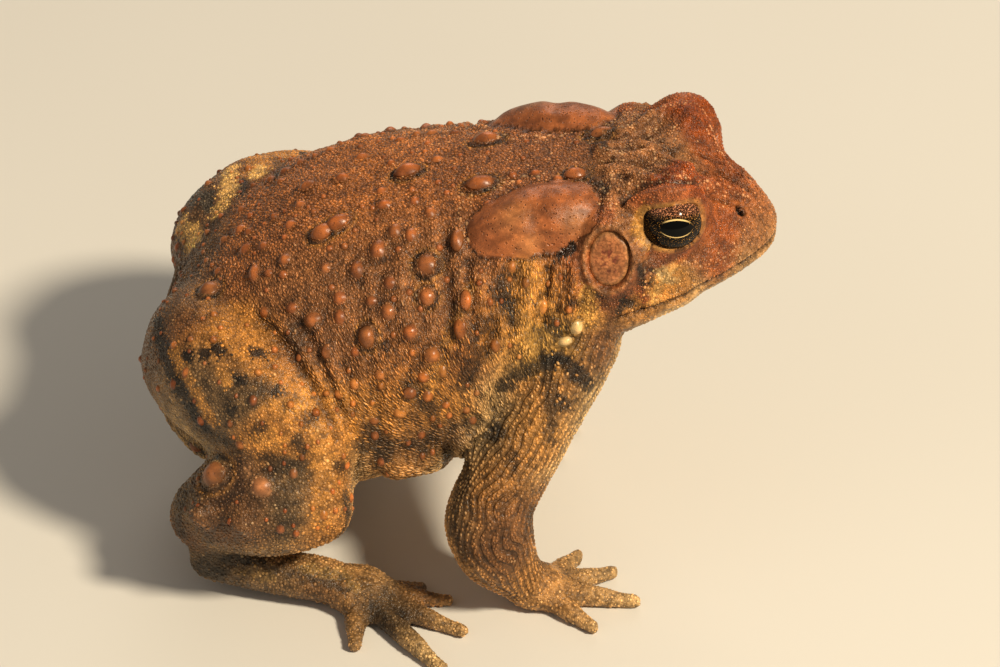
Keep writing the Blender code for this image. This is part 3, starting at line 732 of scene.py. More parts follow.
def sink_nostril(points, outward, place):
    far = distance(points, place)
    mask = 1 - smooth_step(0.45, NOSTRIL_RADIUS, far)
    rim = 0.16 * bell(far - NOSTRIL_RADIUS * 1.35, 0.4)
    return points + outward * (rim - 1.5 * mask)[:, None], mask


def mouth_height(x):
    return np.interp(x, *np.array(MOUTH_LINE).T)


def press_mouth_line(points, outward):
    above = points[:, 2] - mouth_height(points[:, 0])
    lip = 0.14 * bell(above - 0.8, 0.45) + 0.10 * bell(above + 0.75, 0.4) - 0.42 * bell(above, 0.24)
    return points + outward * (lip * smooth_step(20.2, 22.0, points[:, 0]))[:, None]


def shape_ridges(points, outward):
    """Lid ridges, crests and folds, on both sides."""
    lift = np.zeros(len(points))
    for row, (path_px, width, height) in enumerate(RIDGES_PX):
        path = skin_path(path_px)
        for side in (1, -1):
            away = -path_depth(points, on_side(path, side), np.zeros(len(path)))
            share = FAR_LID_SHARE if side == -1 and row < LID_ROWS else 1.0
            lift += share * height * np.exp(-np.abs(away / width) ** 2.6)
    return points + outward * lift[:, None]


def unevenness(points, outward, kind):
    """Soft swellings over the body, and upright creases on the flanks."""
    amount = 0.20 * of_kind(kind, "torso", "thigh", "shank", "upper_arm")
    amount += 0.09 * of_kind(kind, "forearm", "tarsus", "head", "lower_jaw")
    lift = amount * lump_sum(points, 3, (6.0, 1), (2.6, 0.6))
    creased = of_kind(kind, "torso") * smooth_step(0.25, 0.65, 1 - np.abs(outward[:, 2]))
    upright = lumps(points * (1, 1, 0.18), 2.0, 5) + 0.6 * lumps(points * (1, 1, 0.25), 1.1, 6)
    return points + outward * (lift + 0.36 * creased * upright)[:, None]


def relief_shade_and_light(mesh, rounds, depth):
    """Painted shade and painted light: darker than 1 in the creases of the skin and lighter on its ridges."""
    points = points_of(mesh)
    hollow = ((spread(points, edges_of(mesh), rounds) - points) * outward_of(mesh)).sum(1) / depth
    return 1 - 0.55 * smooth_step(0, 1, hollow) + 0.22 * smooth_step(0, 1, -hollow)


def gland_mask(mesh, kind, rounds):
    """1 on the glands behind the eyes and 0 off them, falling over a few points at their edge."""
    return spread(of_kind(kind, "parotoid").astype(float), edges_of(mesh), rounds)


def gland_edge(mesh, kind, rounds):
    return bell(gland_mask(mesh, kind, rounds) - 0.35, 0.22)


# ------------------------------------------------------------------ colour of the skin


class Markings:
    """The toad's colours as zones and ragged marks anchored on the skin, a few of them painted shade, and
    dark rings round the warts.
    """

    def __init__(self):
        shown = [(on_skin(x, y)[0], reach / PX_PER_MM, colour) for x, y, reach, colour in ZONES_PX]
        zones = (*shown, *HIDDEN_ZONES)
        self.zones = [(on_side(place, side), *row) for place, *row in zones for side in (1, -1)]
        self.marks, self.rings = [], []
        for table, mirrored in ((MARKS_PX, True), (FAR_MARKS_PX, False)):
            for *look, paths in ((*row[:3], row[3:]) for row in table):
                for path_px in paths:
                    path, radii = skin_path(path_px), np.array([r for _, _, r in path_px]) / PX_PER_MM
                    self.marks.append((*look, path, radii))
                    mirror = on_side(path, -1)
                    if mirrored and not camera_sees(nearest_skin(mirror.mean(0))[0]):
                        self.marks.append((*look, mirror, radii))

    def ring_warts(self, warts):
        """Takes in the warts, for the dark rings round them: partly the toad's own dark rings, partly painted
        shade in the creases.
        """
        for w in warts:
            along, across = cross_frame(w.outward[None, :], w.heading[None, :].copy())
            strength = 1.0 if w.ring else 0.5
            self.rings.append((w.place, along[0] / w.a, across[0] / w.b, strength, max(w.a, w.b)))

    def paint(self, points, jitter=0.0):
        """Linear colours at points on the skin. Jitter shifts the marks' edges, point by point."""
        total, weight = np.zeros((len(points), 3)), np.zeros(len(points))
        wavy = points + np.stack([lumps(points, 3.5, s) for s in (11, 12, 13)], 1) * 1.1
        for place, reach, colour in self.zones:
            d2 = ((wavy - place) ** 2).sum(1)
            w = np.exp(-0.5 * d2 / (reach * 0.75) ** 2) + 1e-5 / (1 + d2 / reach**2) ** 2
            total += w[:, None] * colour
            weight += w
        colour = total / weight[:, None]
        ragged = lump_sum(points, 21, (1.5, 0.5), (0.7, 0.35), (0.4, 0.3))
        for tint, strength, edge, path, radii in self.marks:
            depth = path_depth(wavy * 0.35 + points * 0.65, path, radii) + 0.15
            depth = depth + edge * 0.85 * ragged + jitter
            colour = blend(colour, tint, strength * smooth_step(-0.25 * edge, 0.25 * edge, depth))
        # Dark rings at the warts' feet: partly the toad's own dark rings, partly painted shade in the
        # creases; the ringed warts also get a pale halo.
        for place, along, across, strength, reach in self.rings:
            near = np.where((np.abs(points - place) < reach * 1.7).all(1))[0]
            offset = points[near] - place
            rho = np.sqrt((offset @ along) ** 2 + (offset @ across) ** 2)
            crease = bell(rho - 1.12, 0.17) * (0.75 + 0.9 * ragged[near])
            colour[near] = blend(colour[near], NEAR_BLACK, np.clip(strength * crease, 0, 1))
            if strength > 0.5:
                colour[near] = blend(colour[near], YELLOW_OCHRE, 0.45 * bell(rho - 1.42, 0.14))
        shade = lump_sum(points, 31, (4.0, 0.16), (1.3, 0.16), (0.6, 0.10), base=1)
        return np.clip(colour * shade[:, None], 0.004, 1)


def face_colours(points, colour):
    """The sharper colours of the head: lips, lid edges and the eardrum's seat, with painted shade under the
    eyes and at the foot of the eardrum's rim.
    """
    above = points[:, 2] - mouth_height(points[:, 0])
    front = smooth_step(20.4, 22.0, points[:, 0])
    rear = 1 - 0.6 * smooth_step(26, 36, points[:, 0])
    colour = blend(colour, LIP, 0.7 * bell(above + 0.75, 0.45) * front * rear)
    colour = blend(colour, MOUTH_DARK, 0.8 * bell(above, 0.16) * front)
    for side in (1, -1):
        far, (u, v), _, m = eye_measure(points, side)
        m = np.where(far < 7.5, m, 9)
        near = 1 - smooth_step(5.15, 5.85, far)
        line = (1 - smooth_step(1.06, 1.16, m)) * (1 - 0.5 * smooth_step(-0.3, 0.3, u)) * near
        colour = blend(colour, LID_LINE, 0.9 * line)
        colour = blend(colour, UMBER_BLACK, (1 - smooth_step(0.96, 1.0, m)) * near)
        # Painted shade below the lower lid's rim.
        under = bell(m - 1.30, 0.10) * smooth_step(0.1, 0.6, -v) * (1 - smooth_step(6.2, 7.0, far))
        colour = blend(colour, UNDER_EYE_SHADE, 0.8 * under)
        _, a, b, r = drum_measure(points, side)
        r = np.where(distance(points, on_side(TYMPANUM, side)) < 7, r, 9)
        colour = blend(colour, DRUM_SEAT, 0.7 * bell(r - 1.13, 0.10))
        # Painted shade at the foot of the eardrum's rim, on its lower rear side only.
        colour = blend(colour, UMBER_BLACK, 0.6 * bell(r - 1.36, 0.09) * smooth_step(-0.2, 0.6, -b - a))
    return colour


def skin_colours(mesh, kind, points, tone, nostrils):
    """Colours of the skin's own points, with the glands and the nostrils in them, painted shade between the
    granules, in the creases, round the glands and in the nostrils, painted light on the ridges and painted
    highlights on the glands.
    """
    colour = face_colours(points, markings.paint(points))
    smooth = of_kind(kind, "parotoid", "head", "lower_jaw", "eye", "tympanum")
    # Painted shade: the skin between the granules is darker, less on thighs and shanks and little on the
    # smooth parts, and tone adds the painted shade and light of the relief.
    gap_shade = np.where(of_kind(kind, "thigh", "shank"), 0.16, 0.22) * np.where(smooth, 0.15, 1.0)
    colour *= (tone * (1 - gap_shade))[:, None]
    mottle = lump_sum(points, 51, (3.0, 0.28), (0.9, 0.20), (0.45, 0.16), base=0.90)
    gland_colour = np.array(GLAND) * mottle[:, None]
    # Painted highlights on the gland's lobes.
    for x, y, reach in GLAND_HIGHLIGHTS_PX:
        place = on_skin(x, y)[0]
        for side in (1, -1):
            highlight_share = bell(distance(points, on_side(place, side)), reach)
            gland_colour = blend(gland_colour, GLAND_HIGHLIGHT_PAINT, 0.5 * highlight_share)
    colour = blend(colour, gland_colour, 0.85 * gland_mask(mesh, kind, 1))
    # Painted shade in the groove round the gland.
    colour = blend(colour, UMBER_BLACK, 0.75 * gland_edge(mesh, kind, 2))
    # Painted shade in the nostrils.
    return blend(colour, NOSTRIL_SHADE_IRIS_BLACK, smooth_step(0.05, 0.35, nostrils))


# ------------------------------------------------------------------ domes on the skin


def dome_shape(sides, rings, power, even=0.0):
    """A unit dome: points around, heights from 0 to 1 and closed faces. Even is 1 for rings at equal
    distances, as a low mound with a skirt needs."""
    points, faces = [(0.0, 0.0, 1.0)], [(0, 1 + k, 1 + (k + 1) % sides) for k in range(sides)]
    for ring in range(1, rings + 1):
        r = (1 - even) * math.sin(0.5 * math.pi * ring / rings) + even * ring / rings
        for k in range(sides):
            turn = 2 * math.pi * (k + 0.5 * (ring % 2)) / sides
            points.append((r * math.cos(turn), r * math.sin(turn), (1 - r * r) ** power))
    for ring in range(1, rings):
        a, b = 1 + (ring - 1) * sides, 1 + ring * sides
        for k in range(sides):
            n = (k + 1) % sides
            if ring % 2:
                faces += [(a + k, b + k, b + n), (a + k, b + n, a + n)]
            else:
                faces += [(a + k, b + k, a + n), (a + n, b + k, b + n)]
    base = 1 + (rings - 1) * sides
    faces.append(tuple(base + k for k in reversed(range(sides))))
    return np.array(points), faces


def cross_frame(outward, heading):
    """Two directions in the skin's plane, the first along the heading."""
    along = heading - outward * (heading * outward).sum(1, keepdims=True)
    bad = np.linalg.norm(along, axis=1) < 1e-3
    along[bad] = np.cross(outward[bad], (0.3, 0.2, 0.9))
    along = unit(along)
    return along, np.cross(outward, along)


def lay_domes(name, places, outward, heading, half_sizes, heights, colours, uv, material, shape, tips,
              sink=0.35):
    """Joined domes with their roots sunk in the skin, coloured darker at the root and lighter at the top as
    painted shade and light, and with one small patch each in OFBake.
    """
    unit_points, faces = shape
    count, each = len(places), len(unit_points)
    across_skin = cross_frame(outward, heading)
    sunk = heights * sink
    ahead, aside, up = unit_points.T[:, None, :, None]
    high, root = (values[:, None, None] for values in (heights + sunk, sunk))
    points = places[:, None, :] + outward[:, None, :] * (up * high - root)
    for way, reach, half in zip(across_skin, (ahead, aside), half_sizes.T):
        points = points + way[:, None, :] * reach * half[:, None, None]
    mesh = bpy.data.meshes.new(name)
    corners = np.concatenate([np.array(f) for f in faces])
    starts = np.cumsum([0] + [len(f) for f in faces[:-1]])
    shift = np.arange(count)[:, None]
    all_corners = (corners[None, :] + shift * each).ravel()
    all_starts = (starts[None, :] + shift * len(corners)).ravel()
    mesh.vertices.add(count * each)
    mesh.vertices.foreach_set("co", (points * MM).ravel())
    mesh.loops.add(len(all_corners))
    mesh.loops.foreach_set("vertex_index", all_corners)
    mesh.polygons.add(len(all_starts))
    mesh.polygons.foreach_set("loop_start", all_starts)
    mesh.polygons.foreach_set("use_smooth", np.ones(len(all_starts), bool))
    mesh.update(calc_edges=True)
    mesh.validate()
    # Painted shade towards each dome's root and painted light towards its top, where the tips' colour is
    # added.
    tint = colours[:, None, :] * (0.62 + 0.5 * up) + tips[:, None, :] * up**2
    write_colour(mesh, tint.reshape(-1, 3))
    write(mesh, "bare", "FLOAT", "value", np.ones(count * each))
    patch = (uv[:, None, :] + unit_points[None, :, :2] * PATCH_HALF).reshape(-1, 2)
    mesh.uv_layers.new(name="OFBake").data.foreach_set("uv", patch[all_corners].ravel())
    mesh.materials.append(material)
    return new_object(name, mesh)


class SkinFaces:
    """The skin's triangles, for scattering places over it."""

    def __init__(self, mesh, kind, tone=None):
        mesh.calc_loop_triangles()
        corner = read(mesh.loop_triangles, "vertices", 3, int)
        self.points, self.outward = points_of(mesh)[corner], outward_of(mesh)[corner]
        a, b, c = self.points.transpose(1, 0, 2)
        self.area = 0.5 * np.linalg.norm(np.cross(b - a, c - a), axis=1)
        self.kind = kind[corner[:, 0]]
        # tone: the painted shade and light of the relief, one value to a triangle.
        self.tone = (np.ones(len(kind)) if tone is None else tone)[corner].mean(1)
        self.middle = self.points.mean(1)
        flat = np.zeros((len(mesh.loops), 2))
        if "OFBake" in mesh.uv_layers:
            flat = read(mesh.uv_layers["OFBake"].data, "uv", 2)
        self.uv = flat[read(mesh.loop_triangles, "loops", 3, int)]

    def scatter(self, density, seed):
        """Random places, density of them to a square mm on each triangle."""
        draw = np.random.default_rng(seed)
        wanted = self.area * density
        number = np.floor(wanted + draw.random(len(wanted))).astype(int)
        face = np.repeat(np.arange(len(number)), number)
        face = face[draw.permutation(len(face))]
        a, b = draw.random(len(face)), draw.random(len(face))
        flip = a + b > 1
        a, b = np.where(flip, 1 - a, a), np.where(flip, 1 - b, b)
        weights = np.column_stack([1 - a - b, a, b])[:, :, None]
        places, outward, uv = ((rows[face] * weights).sum(1) for rows in (self.points, self.outward, self.uv))
        return places, unit(outward), uv, self.kind[face], self.tone[face]


def spaced(places, reach, taken=()):
    """Which places to keep so that no two lie nearer than their reaches allow."""
    cell = 1.6
    grid, kept = {}, []
    for p, r in taken:
        grid.setdefault(tuple((p // cell).astype(int)), []).append((*p, r))
    around = list(product((-1, 0, 1), repeat=3))

    def free(p, key, r):
        for d in around:
            for q in grid.get((key[0] + d[0], key[1] + d[1], key[2] + d[2]), ()):
                gap = r + q[3]
                if (p[0] - q[0]) ** 2 + (p[1] - q[1]) ** 2 + (p[2] - q[2]) ** 2 < gap * gap:
                    return False
        return True

    keys = (places // cell).astype(int)
    for i, (p, key, r) in enumerate(zip(places.tolist(), keys.tolist(), reach.tolist())):
        if free(p, key, r):
            grid.setdefault(tuple(key), []).append((*p, r))
            kept.append(i)
    return np.array(kept, int)


# ------------------------------------------------------------------ materials


class Wire:
    """A value in a shader's tree. Reckoning with wires adds the nodes that do the same."""

    def __init__(self, socket):
        self.socket = socket

    def __mul__(self, other):
        return maths("MULTIPLY", self, other)

    def __add__(self, other):
        return maths("ADD", self, other)

    def __sub__(self, other):
        return maths("SUBTRACT", self, other)

    def __rsub__(self, other):
        return maths("SUBTRACT", other, self)


def put(socket, value):
    """Gives a socket a wire, a number, a vector or a colour."""
    if isinstance(value, Wire):
        socket.id_data.links.new(value.socket, socket)
    else:
        socket.default_value = (*value, 1.0) if socket.type == "RGBA" else value


def fill(node, **values):
    """Sets a node's own settings by their names, and its sockets by theirs, with _ for a space."""
    for name, value in values.items():
        if hasattr(node, name):
            setattr(node, name, value)
        else:
            put(node.inputs[name.replace("_", " ")], value)
    return node


def add(tree, kind, output, **values):
    """The wire from a new node's output."""
    return Wire(fill(tree.nodes.new(kind), **values).outputs[output])


def maths(operation, *values, clamp=False):
    tree = next(v.socket.id_data for v in values if isinstance(v, Wire))
    node = fill(tree.nodes.new("ShaderNodeMath"), operation=operation, use_clamp=clamp)
    for socket, value in zip(node.inputs, values):
        put(socket, value)
    return Wire(node.outputs[0])


def ramp(value, low, high, to_low=0.0, to_high=1.0):
    """A soft step from to_low to to_high while the value goes from low to high."""
    return add(value.socket.id_data, "ShaderNodeMapRange", "Result", interpolation_type="SMOOTHSTEP",
               Value=value, From_Min=low, From_Max=high, To_Min=to_low, To_Max=to_high)


def mix_colour(factor, a, b, how="MIX"):
    tree = next(v.socket.id_data for v in (factor, a, b) if isinstance(v, Wire))
    node = fill(tree.nodes.new("ShaderNodeMix"), data_type="RGBA", blend_type=how, Factor=factor)
    put(node.inputs[6], a)
    put(node.inputs[7], b)
    return Wire(node.outputs[2])


def split(vector):
    node = fill(vector.socket.id_data.nodes.new("ShaderNodeSeparateXYZ"), Vector=vector)
    return [Wire(output) for output in node.outputs]


def stored(tree, name, output="Fac"):
    """What is stored on the mesh under a name."""
    return add(tree, "ShaderNodeAttribute", output, attribute_name=name)


def new_material(name):
    material = bpy.data.materials.new(name)
    material.use_nodes = True
    return material, material.node_tree, material.node_tree.nodes["Principled BSDF"]


def make_grain_group():
    """Wet granular skin: fine pebbles with painted shade in their creases, pits, fold valleys and between the
    foreleg's rows, pale specks that are partly painted glints, and gloss that varies.
    """
    group = bpy.data.node_groups.new("granular_skin", "ShaderNodeTree")
    start = {"Paint": (0.4, 0.2, 0.1, 1), "Smoothness": 0.0, "Pebble Scale": 1900.0, "Specks": 0.5,
             "Folds": 0.0, "Wetness": 0.0, "Rows": 0.0}
    for name, value in start.items():
        kind = "NodeSocketColor" if name == "Paint" else "NodeSocketFloat"
        group.interface.new_socket(name, in_out="INPUT", socket_type=kind).default_value = value
    for name in ("Colour", "Height", "Roughness"):
        kind = "NodeSocketColor" if name == "Colour" else "NodeSocketFloat"
        group.interface.new_socket(name, in_out="OUTPUT", socket_type=kind)
    given = {output.name: Wire(output) for output in group.nodes.new("NodeGroupInput").outputs}
    where = add(group, "ShaderNodeTexCoord", "Object")

    def noise(scale, detail, vector=where):
        return add(group, "ShaderNodeTexNoise", "Fac", Vector=vector, Scale=scale, Detail=detail)

    pebbles = add(group, "ShaderNodeTexVoronoi", "Distance", feature="SMOOTH_F1", Vector=where,
                  Scale=given["Pebble Scale"])
    fine = add(group, "ShaderNodeTexVoronoi", "Distance", Vector=where, Scale=given["Pebble Scale"] * 2.7)
    grain, blotch = noise(9000.0, 3.0), noise(700.0, 3.0)
    stretched = add(group, "ShaderNodeMapping", "Vector", Vector=where, Scale=(1.0, 1.0, 0.22))
    folds = noise(1500.0, 2.0, stretched)
    rough_part = maths("SUBTRACT", 1.0, given["Smoothness"], clamp=True)
    pit = ramp(pebbles, 0.10, 0.26, 1.0, 0.0) * given["Smoothness"]
    height = ((1.0 - pebbles) * 0.9 + (1.0 - fine) * 0.35) * rough_part + grain * 0.16
    height = height + folds * given["Folds"] * 1.6 - given["Rows"] * 0.9 - pit * 0.5

    # Painted shade: darker in the creases between the pebbles, in the pits, in the fold valleys and between
    # the foreleg's rows; the blotch and grain factors are tone that differs at random.
    crease = maths("MULTIPLY_ADD", ramp(pebbles, 0.30, 0.62, 1.0, 0.0), 0.52, 0.52)
    shade = maths("MAXIMUM", crease, given["Smoothness"])
    shade = shade * ramp(blotch, 0.32, 0.68, 0.68, 1.28) * ramp(grain, 0.3, 0.7, 0.86, 1.12)
    valley = maths("MAXIMUM", ramp(folds, 0.38, 0.50, 0.55, 0.0) * given["Folds"], given["Rows"] * 0.34)
    shade = shade * (1.0 - pit * 0.5) * (1.0 - valley)
    grey = add(group, "ShaderNodeCombineColor", 0, Red=shade, Green=shade, Blue=shade)
    colour = mix_colour(1.0, given["Paint"], grey, "MULTIPLY")
    # Pale specks on the tops of the fine bumps: partly pale granule tips, partly painted glints.
    tone = add(group, "ShaderNodeSeparateColor", 0, Color=Wire(fine.socket.node.outputs["Color"]))
    chosen = maths("GREATER_THAN", tone, 0.80) * ramp(fine, 0.16, 0.34, 1.0, 0.0)
    speck = maths("MULTIPLY", chosen, given["Specks"], clamp=True)
    dry = ramp(blotch, 0.25, 0.75, 0.44, 0.22)
    fill(group.nodes.new("NodeGroupOutput"), Height=height, Colour=mix_colour(speck, colour, PALE_SPECK_GLINT),
         Roughness=maths("SUBTRACT", dry, given["Wetness"], clamp=True))
    return group


def skin_material(name, group, pebble_scale, specks, bump, wetness=0.0, smoothness=None):
    """The granular skin in one fineness. Its smoothness is read from the mesh if none is given."""
    material, tree, shader = new_material(name)
    grain = fill(tree.nodes.new("ShaderNodeGroup"), node_tree=group, Pebble_Scale=pebble_scale, Specks=specks,
                 Wetness=wetness, Paint=stored(tree, "paint", "Color"))
    if smoothness is None:
        # The foreleg's rows lower the bump between them and darken the skin there as painted shade.
        x, y, mask = split(stored(tree, "arm_turn", "Vector"))
        between = maths("COSINE", maths("ARCTAN2", y, x) * float(ARM_ROWS)) * -1.0
        fill(grain, Smoothness=stored(tree, "bare"), Folds=stored(tree, "folds"),
             Rows=ramp(between, 0.1, 0.9) * mask)
    else:
        fill(grain, Smoothness=smoothness)
    normal = add(tree, "ShaderNodeBump", "Normal", Strength=1.0, Distance=bump * MM,
                 Height=Wire(grain.outputs["Height"]))
    fill(shader, IOR=1.40, Normal=normal, Base_Color=Wire(grain.outputs["Colour"]),
         Roughness=Wire(grain.outputs["Roughness"]))
    return material


def eye_material():
    """Coppery iris with a wide black pupil edged in gold, under a wet surface. It reads the eye's own
    directions, stored on its points: forward, up and out."""
    material, tree, shader = new_material("wet_eye")
    gaze = stored(tree, "gaze", "Vector")
    u, v, _ = split(gaze)

    def oval(wide, high, exponent=2.0, lift=0.0):
        across, upward = (maths("ABSOLUTE", maths("DIVIDE", a, b)) for a, b in ((u, wide), (v - lift, high)))
        return maths("POWER", across, exponent) + maths("POWER", upward, exponent)

    speckle = add(tree, "ShaderNodeTexNoise", "Fac", Scale=26.0, Detail=4.0, Roughness=0.65, Vector=gaze)
    net = add(tree, "ShaderNodeTexVoronoi", "Distance", feature="DISTANCE_TO_EDGE", Scale=17.0, Vector=gaze)
    veins = ramp(net, 0.03, 0.10, 1.0, 0.0) * 0.20
    flecks = maths("MAXIMUM", ramp(speckle, 0.55, 0.59), veins, clamp=True)
    fade = ramp(oval(0.92, 0.92), 0.62, 0.98, 1.0, 0.0)
    above = ramp(v, 0.18, 0.42)
    below = ramp(speckle, 0.60, 0.64) * ramp(v, -0.75, -0.30, 0.4, 0.8)
    metal = mix_colour(above, IRIS_GOLD, IRIS_COPPER)
    iris = mix_colour(flecks * fade * maths("MAXIMUM", above, below), NOSTRIL_SHADE_IRIS_BLACK, metal)
    edge, outer_edge = oval(0.50, 0.25, 1.8, -0.02), oval(0.53, 0.285, 1.8, -0.012)
    rim = ramp(edge, 0.96, 1.03) * ramp(outer_edge, 0.94, 1.04, 1.0, 0.0)
    gold = mix_colour(rim * ramp(maths("ABSOLUTE", v), 0.10, 0.24), iris, PUPIL_GOLD)
    fill(shader, Roughness=0.07, IOR=1.30, Specular_IOR_Level=0.22,
         Base_Color=mix_colour(ramp(edge, 0.90, 0.97, 1.0, 0.0), gold, PUPIL_BLACK))
    return material


def floor_material():
    material, tree, shader = new_material("pale_floor")
    where = add(tree, "ShaderNodeTexCoord", "Object")
    noise = add(tree, "ShaderNodeTexNoise", "Fac", Vector=where, Scale=6.0, Detail=2.0)
    fill(shader, Roughness=0.75, Base_Color=mix_colour(ramp(noise, 0.3, 0.7), *FLOOR_TINTS))
    return material


# ------------------------------------------------------------------ eyes and eardrums


def make_eye(node, side, material):
    deselect_all()
    bpy.ops.mesh.primitive_uv_sphere_add(segments=72, ring_count=48, radius=EYE_RADIUS * MM)
    eye = bpy.context.object
    eye.name = node.replace("eye", "eyeball")
    out, forward, up = own_frame(PUPIL_GAZE, side)
    local = unit(points_of(eye.data))
    turned = local @ np.column_stack([forward, up, out]).T
    bulge = 1 + 0.035 * smooth_step(0.75, 1.0, local[:, 2])
    put_points(eye.data, on_side(EYE_MIDDLE, side) + turned * EYE_RADIUS * bulge[:, None])
    write(eye.data, "gaze", "FLOAT_VECTOR", "vector", local)
    face_outward(eye)
    eye.data.materials.append(material)
    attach(eye, "root")
    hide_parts(node)


def make_eardrum(node, side, material):
    """A thin, slightly crowned oval disc with a softly rounded edge."""
    out, along, up = own_frame(TYMPANUM_OUT, side)
    deselect_all()
    bpy.ops.mesh.primitive_circle_add(vertices=64, radius=1.0, fill_type="NGON")
    drum = bpy.context.object
    drum.name = node.replace("tympanum", "eardrum")

    def cut_rings():
        for _ in range(9):
            bpy.ops.mesh.inset(thickness=0.1)
        bpy.ops.mesh.poke()

    edit_all(drum, cut_rings)
    x, y, _ = read(drum.data.vertices, "co", 3).T
    r = np.sqrt(x * x + y * y)
    high = 0.36 - 0.20 * r**2 - 0.42 * smooth_step(0.82, 1.0, r) + 0.10 * bell(r, 0.3)
    ways = np.array((along * TYMPANUM_RADII[0] * 0.985, up * TYMPANUM_RADII[1] * 0.985, out))
    put_points(drum.data, on_side(TYMPANUM, side) + np.column_stack([x, y, high]) @ ways)
    solid = drum.modifiers.new("thickness", "SOLIDIFY")
    solid.thickness = 0.4 * MM
    solid.offset = -1
    apply_all(drum)
    face_outward(drum)
    points = points_of(drum.data)
    _, _, _, r = drum_measure(points, side)
    mottle = lump_sum(points, 41, (0.9, 0.16), (0.45, 0.12), base=1)
    spots = smooth_step(0.15, 0.5, lumps(points, 0.42, 43)) * (1 - smooth_step(0.35, 0.8, r))
    colour = blend(np.array(DRUM) * mottle[:, None], DRUM_SPOT, 0.8 * spots)
    write_colour(drum.data, blend(colour, DRUM_EDGE, 0.5 * smooth_step(0.7, 0.9, r)))
    drum.data.materials.append(material)
    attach(drum, "root")
    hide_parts(node)


# ------------------------------------------------------------------ warts

Wart = namedtuple("Wart", "place outward heading a b ring tint")


def main_warts():
    warts = []
    tables = ((WARTS_PX, True, WART_RED), (FAR_WARTS_PX, False, WART_RED),
              (CREAM_TUBERCLES_PX, True, PALE_CREAM))
    for table, mirror, tint in tables:
        for x, y, wide, high, *rest in table:
            turn, ring = rest or (0, 0)
            place, outward = on_skin(x, y)
            heading = ACROSS * math.cos(math.radians(turn)) + UPWARD * math.sin(math.radians(turn))
            size = (wide / PX_PER_MM, high / PX_PER_MM)
            warts.append(Wart(place, outward, heading, *size, ring, tint))
            place, outward = nearest_skin(on_side(place, -1))
            if mirror and not camera_sees(place):
                warts.append(Wart(place, outward, on_side(heading, -1), *size, ring, tint))
    return warts


def add_hidden_warts(warts, faces):
    """Smaller warts over the back, flanks, thighs and shanks, between the main ones."""
    draw = np.random.default_rng(5)
    places, outward, _, kinds, _ = faces.scatter(0.12, 6)
    torso, high = of_kind(kinds, "torso"), outward[:, 2]
    body = torso & (high > -0.25) & (places[:, 2] > 17)
    leg = of_kind(kinds, "shank", "thigh") & (high > -0.2)
    keep = (body | leg) & (places[:, 0] < 17)
    places, outward, torso = places[keep], outward[keep], torso[keep]
    size = (0.42 + 0.5 * draw.random(len(places)) ** 2) * np.where(torso, 1.0, 0.85)
    taken = [(w.place, 0.75 * max(w.a, w.b)) for w in warts]
    for i in spaced(places, size * 1.25, taken):
        stretch = 1.15 if outward[i][2] < 0.6 else 1.0
        tint = WART_ORANGE if places[i][2] < 28 and draw.random() < 0.5 else WART_RED
        upright = np.array((0.0, 0.0, 1.0))
        warts.append(Wart(places[i], outward[i], upright, size[i] * stretch, size[i] / stretch, 0, tint))
    return warts


def mound_height(a, b):
    """How far the skin rises under a wart. The smallest have no mound."""
    size = np.sqrt(a * b)
    return WART_MOUND * size * np.clip((size - 0.45) / 0.4, 0, 1)


def raise_warts(points, outward, warts):
    """Lifts the skin into low mounds under the larger warts, and gives the warts their new places."""
    lift, raised = np.zeros(len(points)), []
    for w in warts:
        high = mound_height(w.a, w.b)
        along, across = cross_frame(w.outward[None, :], w.heading[None, :].copy())
        near = np.where((np.abs(points - w.place) < 1.7 * max(w.a, w.b)).all(1))[0]
        offset = points[near] - w.place
        rho = np.sqrt((offset @ along[0] / w.a) ** 2 + (offset @ across[0] / w.b) ** 2)
        lift[near] = np.maximum(lift[near], high * (1 - smooth_step(0.45, 1.25, rho)))
        if w.ring:
            lift[near] -= 0.18 * bell(rho - 1.3, 0.16)
        raised.append(w._replace(place=w.place + w.outward * high))
    return points + outward * lift[:, None], raised


def lay_warts(name, chosen, grid, power, share_wide, rise, seed):
    draw = np.random.default_rng(seed)
    places, outward, heading, a, b, _, tint = (np.array(rows) for rows in zip(*chosen))
    half = np.column_stack([a, b])
    share = np.maximum(0.30 + 0.4 * draw.random((len(chosen), 1)), 0.9 * (tint[:, :1] > 0.7))
    colour = plain_markings.paint(places) * (1 - share) + tint * share
    colour *= 0.72 + 0.3 * draw.random((len(chosen), 1))
    heights = rise * np.sqrt(a * b) * (0.8 + 0.4 * draw.random(len(chosen)))
    tips = np.array(WART_TIP) * (0.5 + draw.random((len(chosen), 1)))
    uv = np.array([faces.uv[face_tree.find_nearest(Vector(p))[2]].mean(0) for p in places])
    piece = lay_domes(name, places, outward, heading, half * share_wide, heights, colour, uv, wart_look,
                      dome_shape(*grid, power, 1.0), tips, sink=0.25 + 0.75 * mound_height(a, b) / heights)
    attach(piece, "root")


# ------------------------------------------------------------------ granules

# Kind: how many to a square mm, radius in mm, how much longer than wide, height to radius.
GRANULES = dict(
    torso=(13.0, 0.215, 1.25, 0.50), head=(13.5, 0.165, 1.0, 0.62), lower_jaw=(4.0, 0.16, 1.0, 0.4),
    upper_arm=(32.0, 0.235, 1.35, 0.60), forearm=(32.0, 0.235, 1.35, 0.60), hand=(4.0, 0.20, 1.0, 0.4),
    thigh=(12.0, 0.205, 1.15, 0.36), shank=(10.0, 0.24, 1.05, 0.55), tarsus=(7.0, 0.22, 1.0, 0.5),
    foot=(5.0, 0.20, 1.0, 0.4),
)
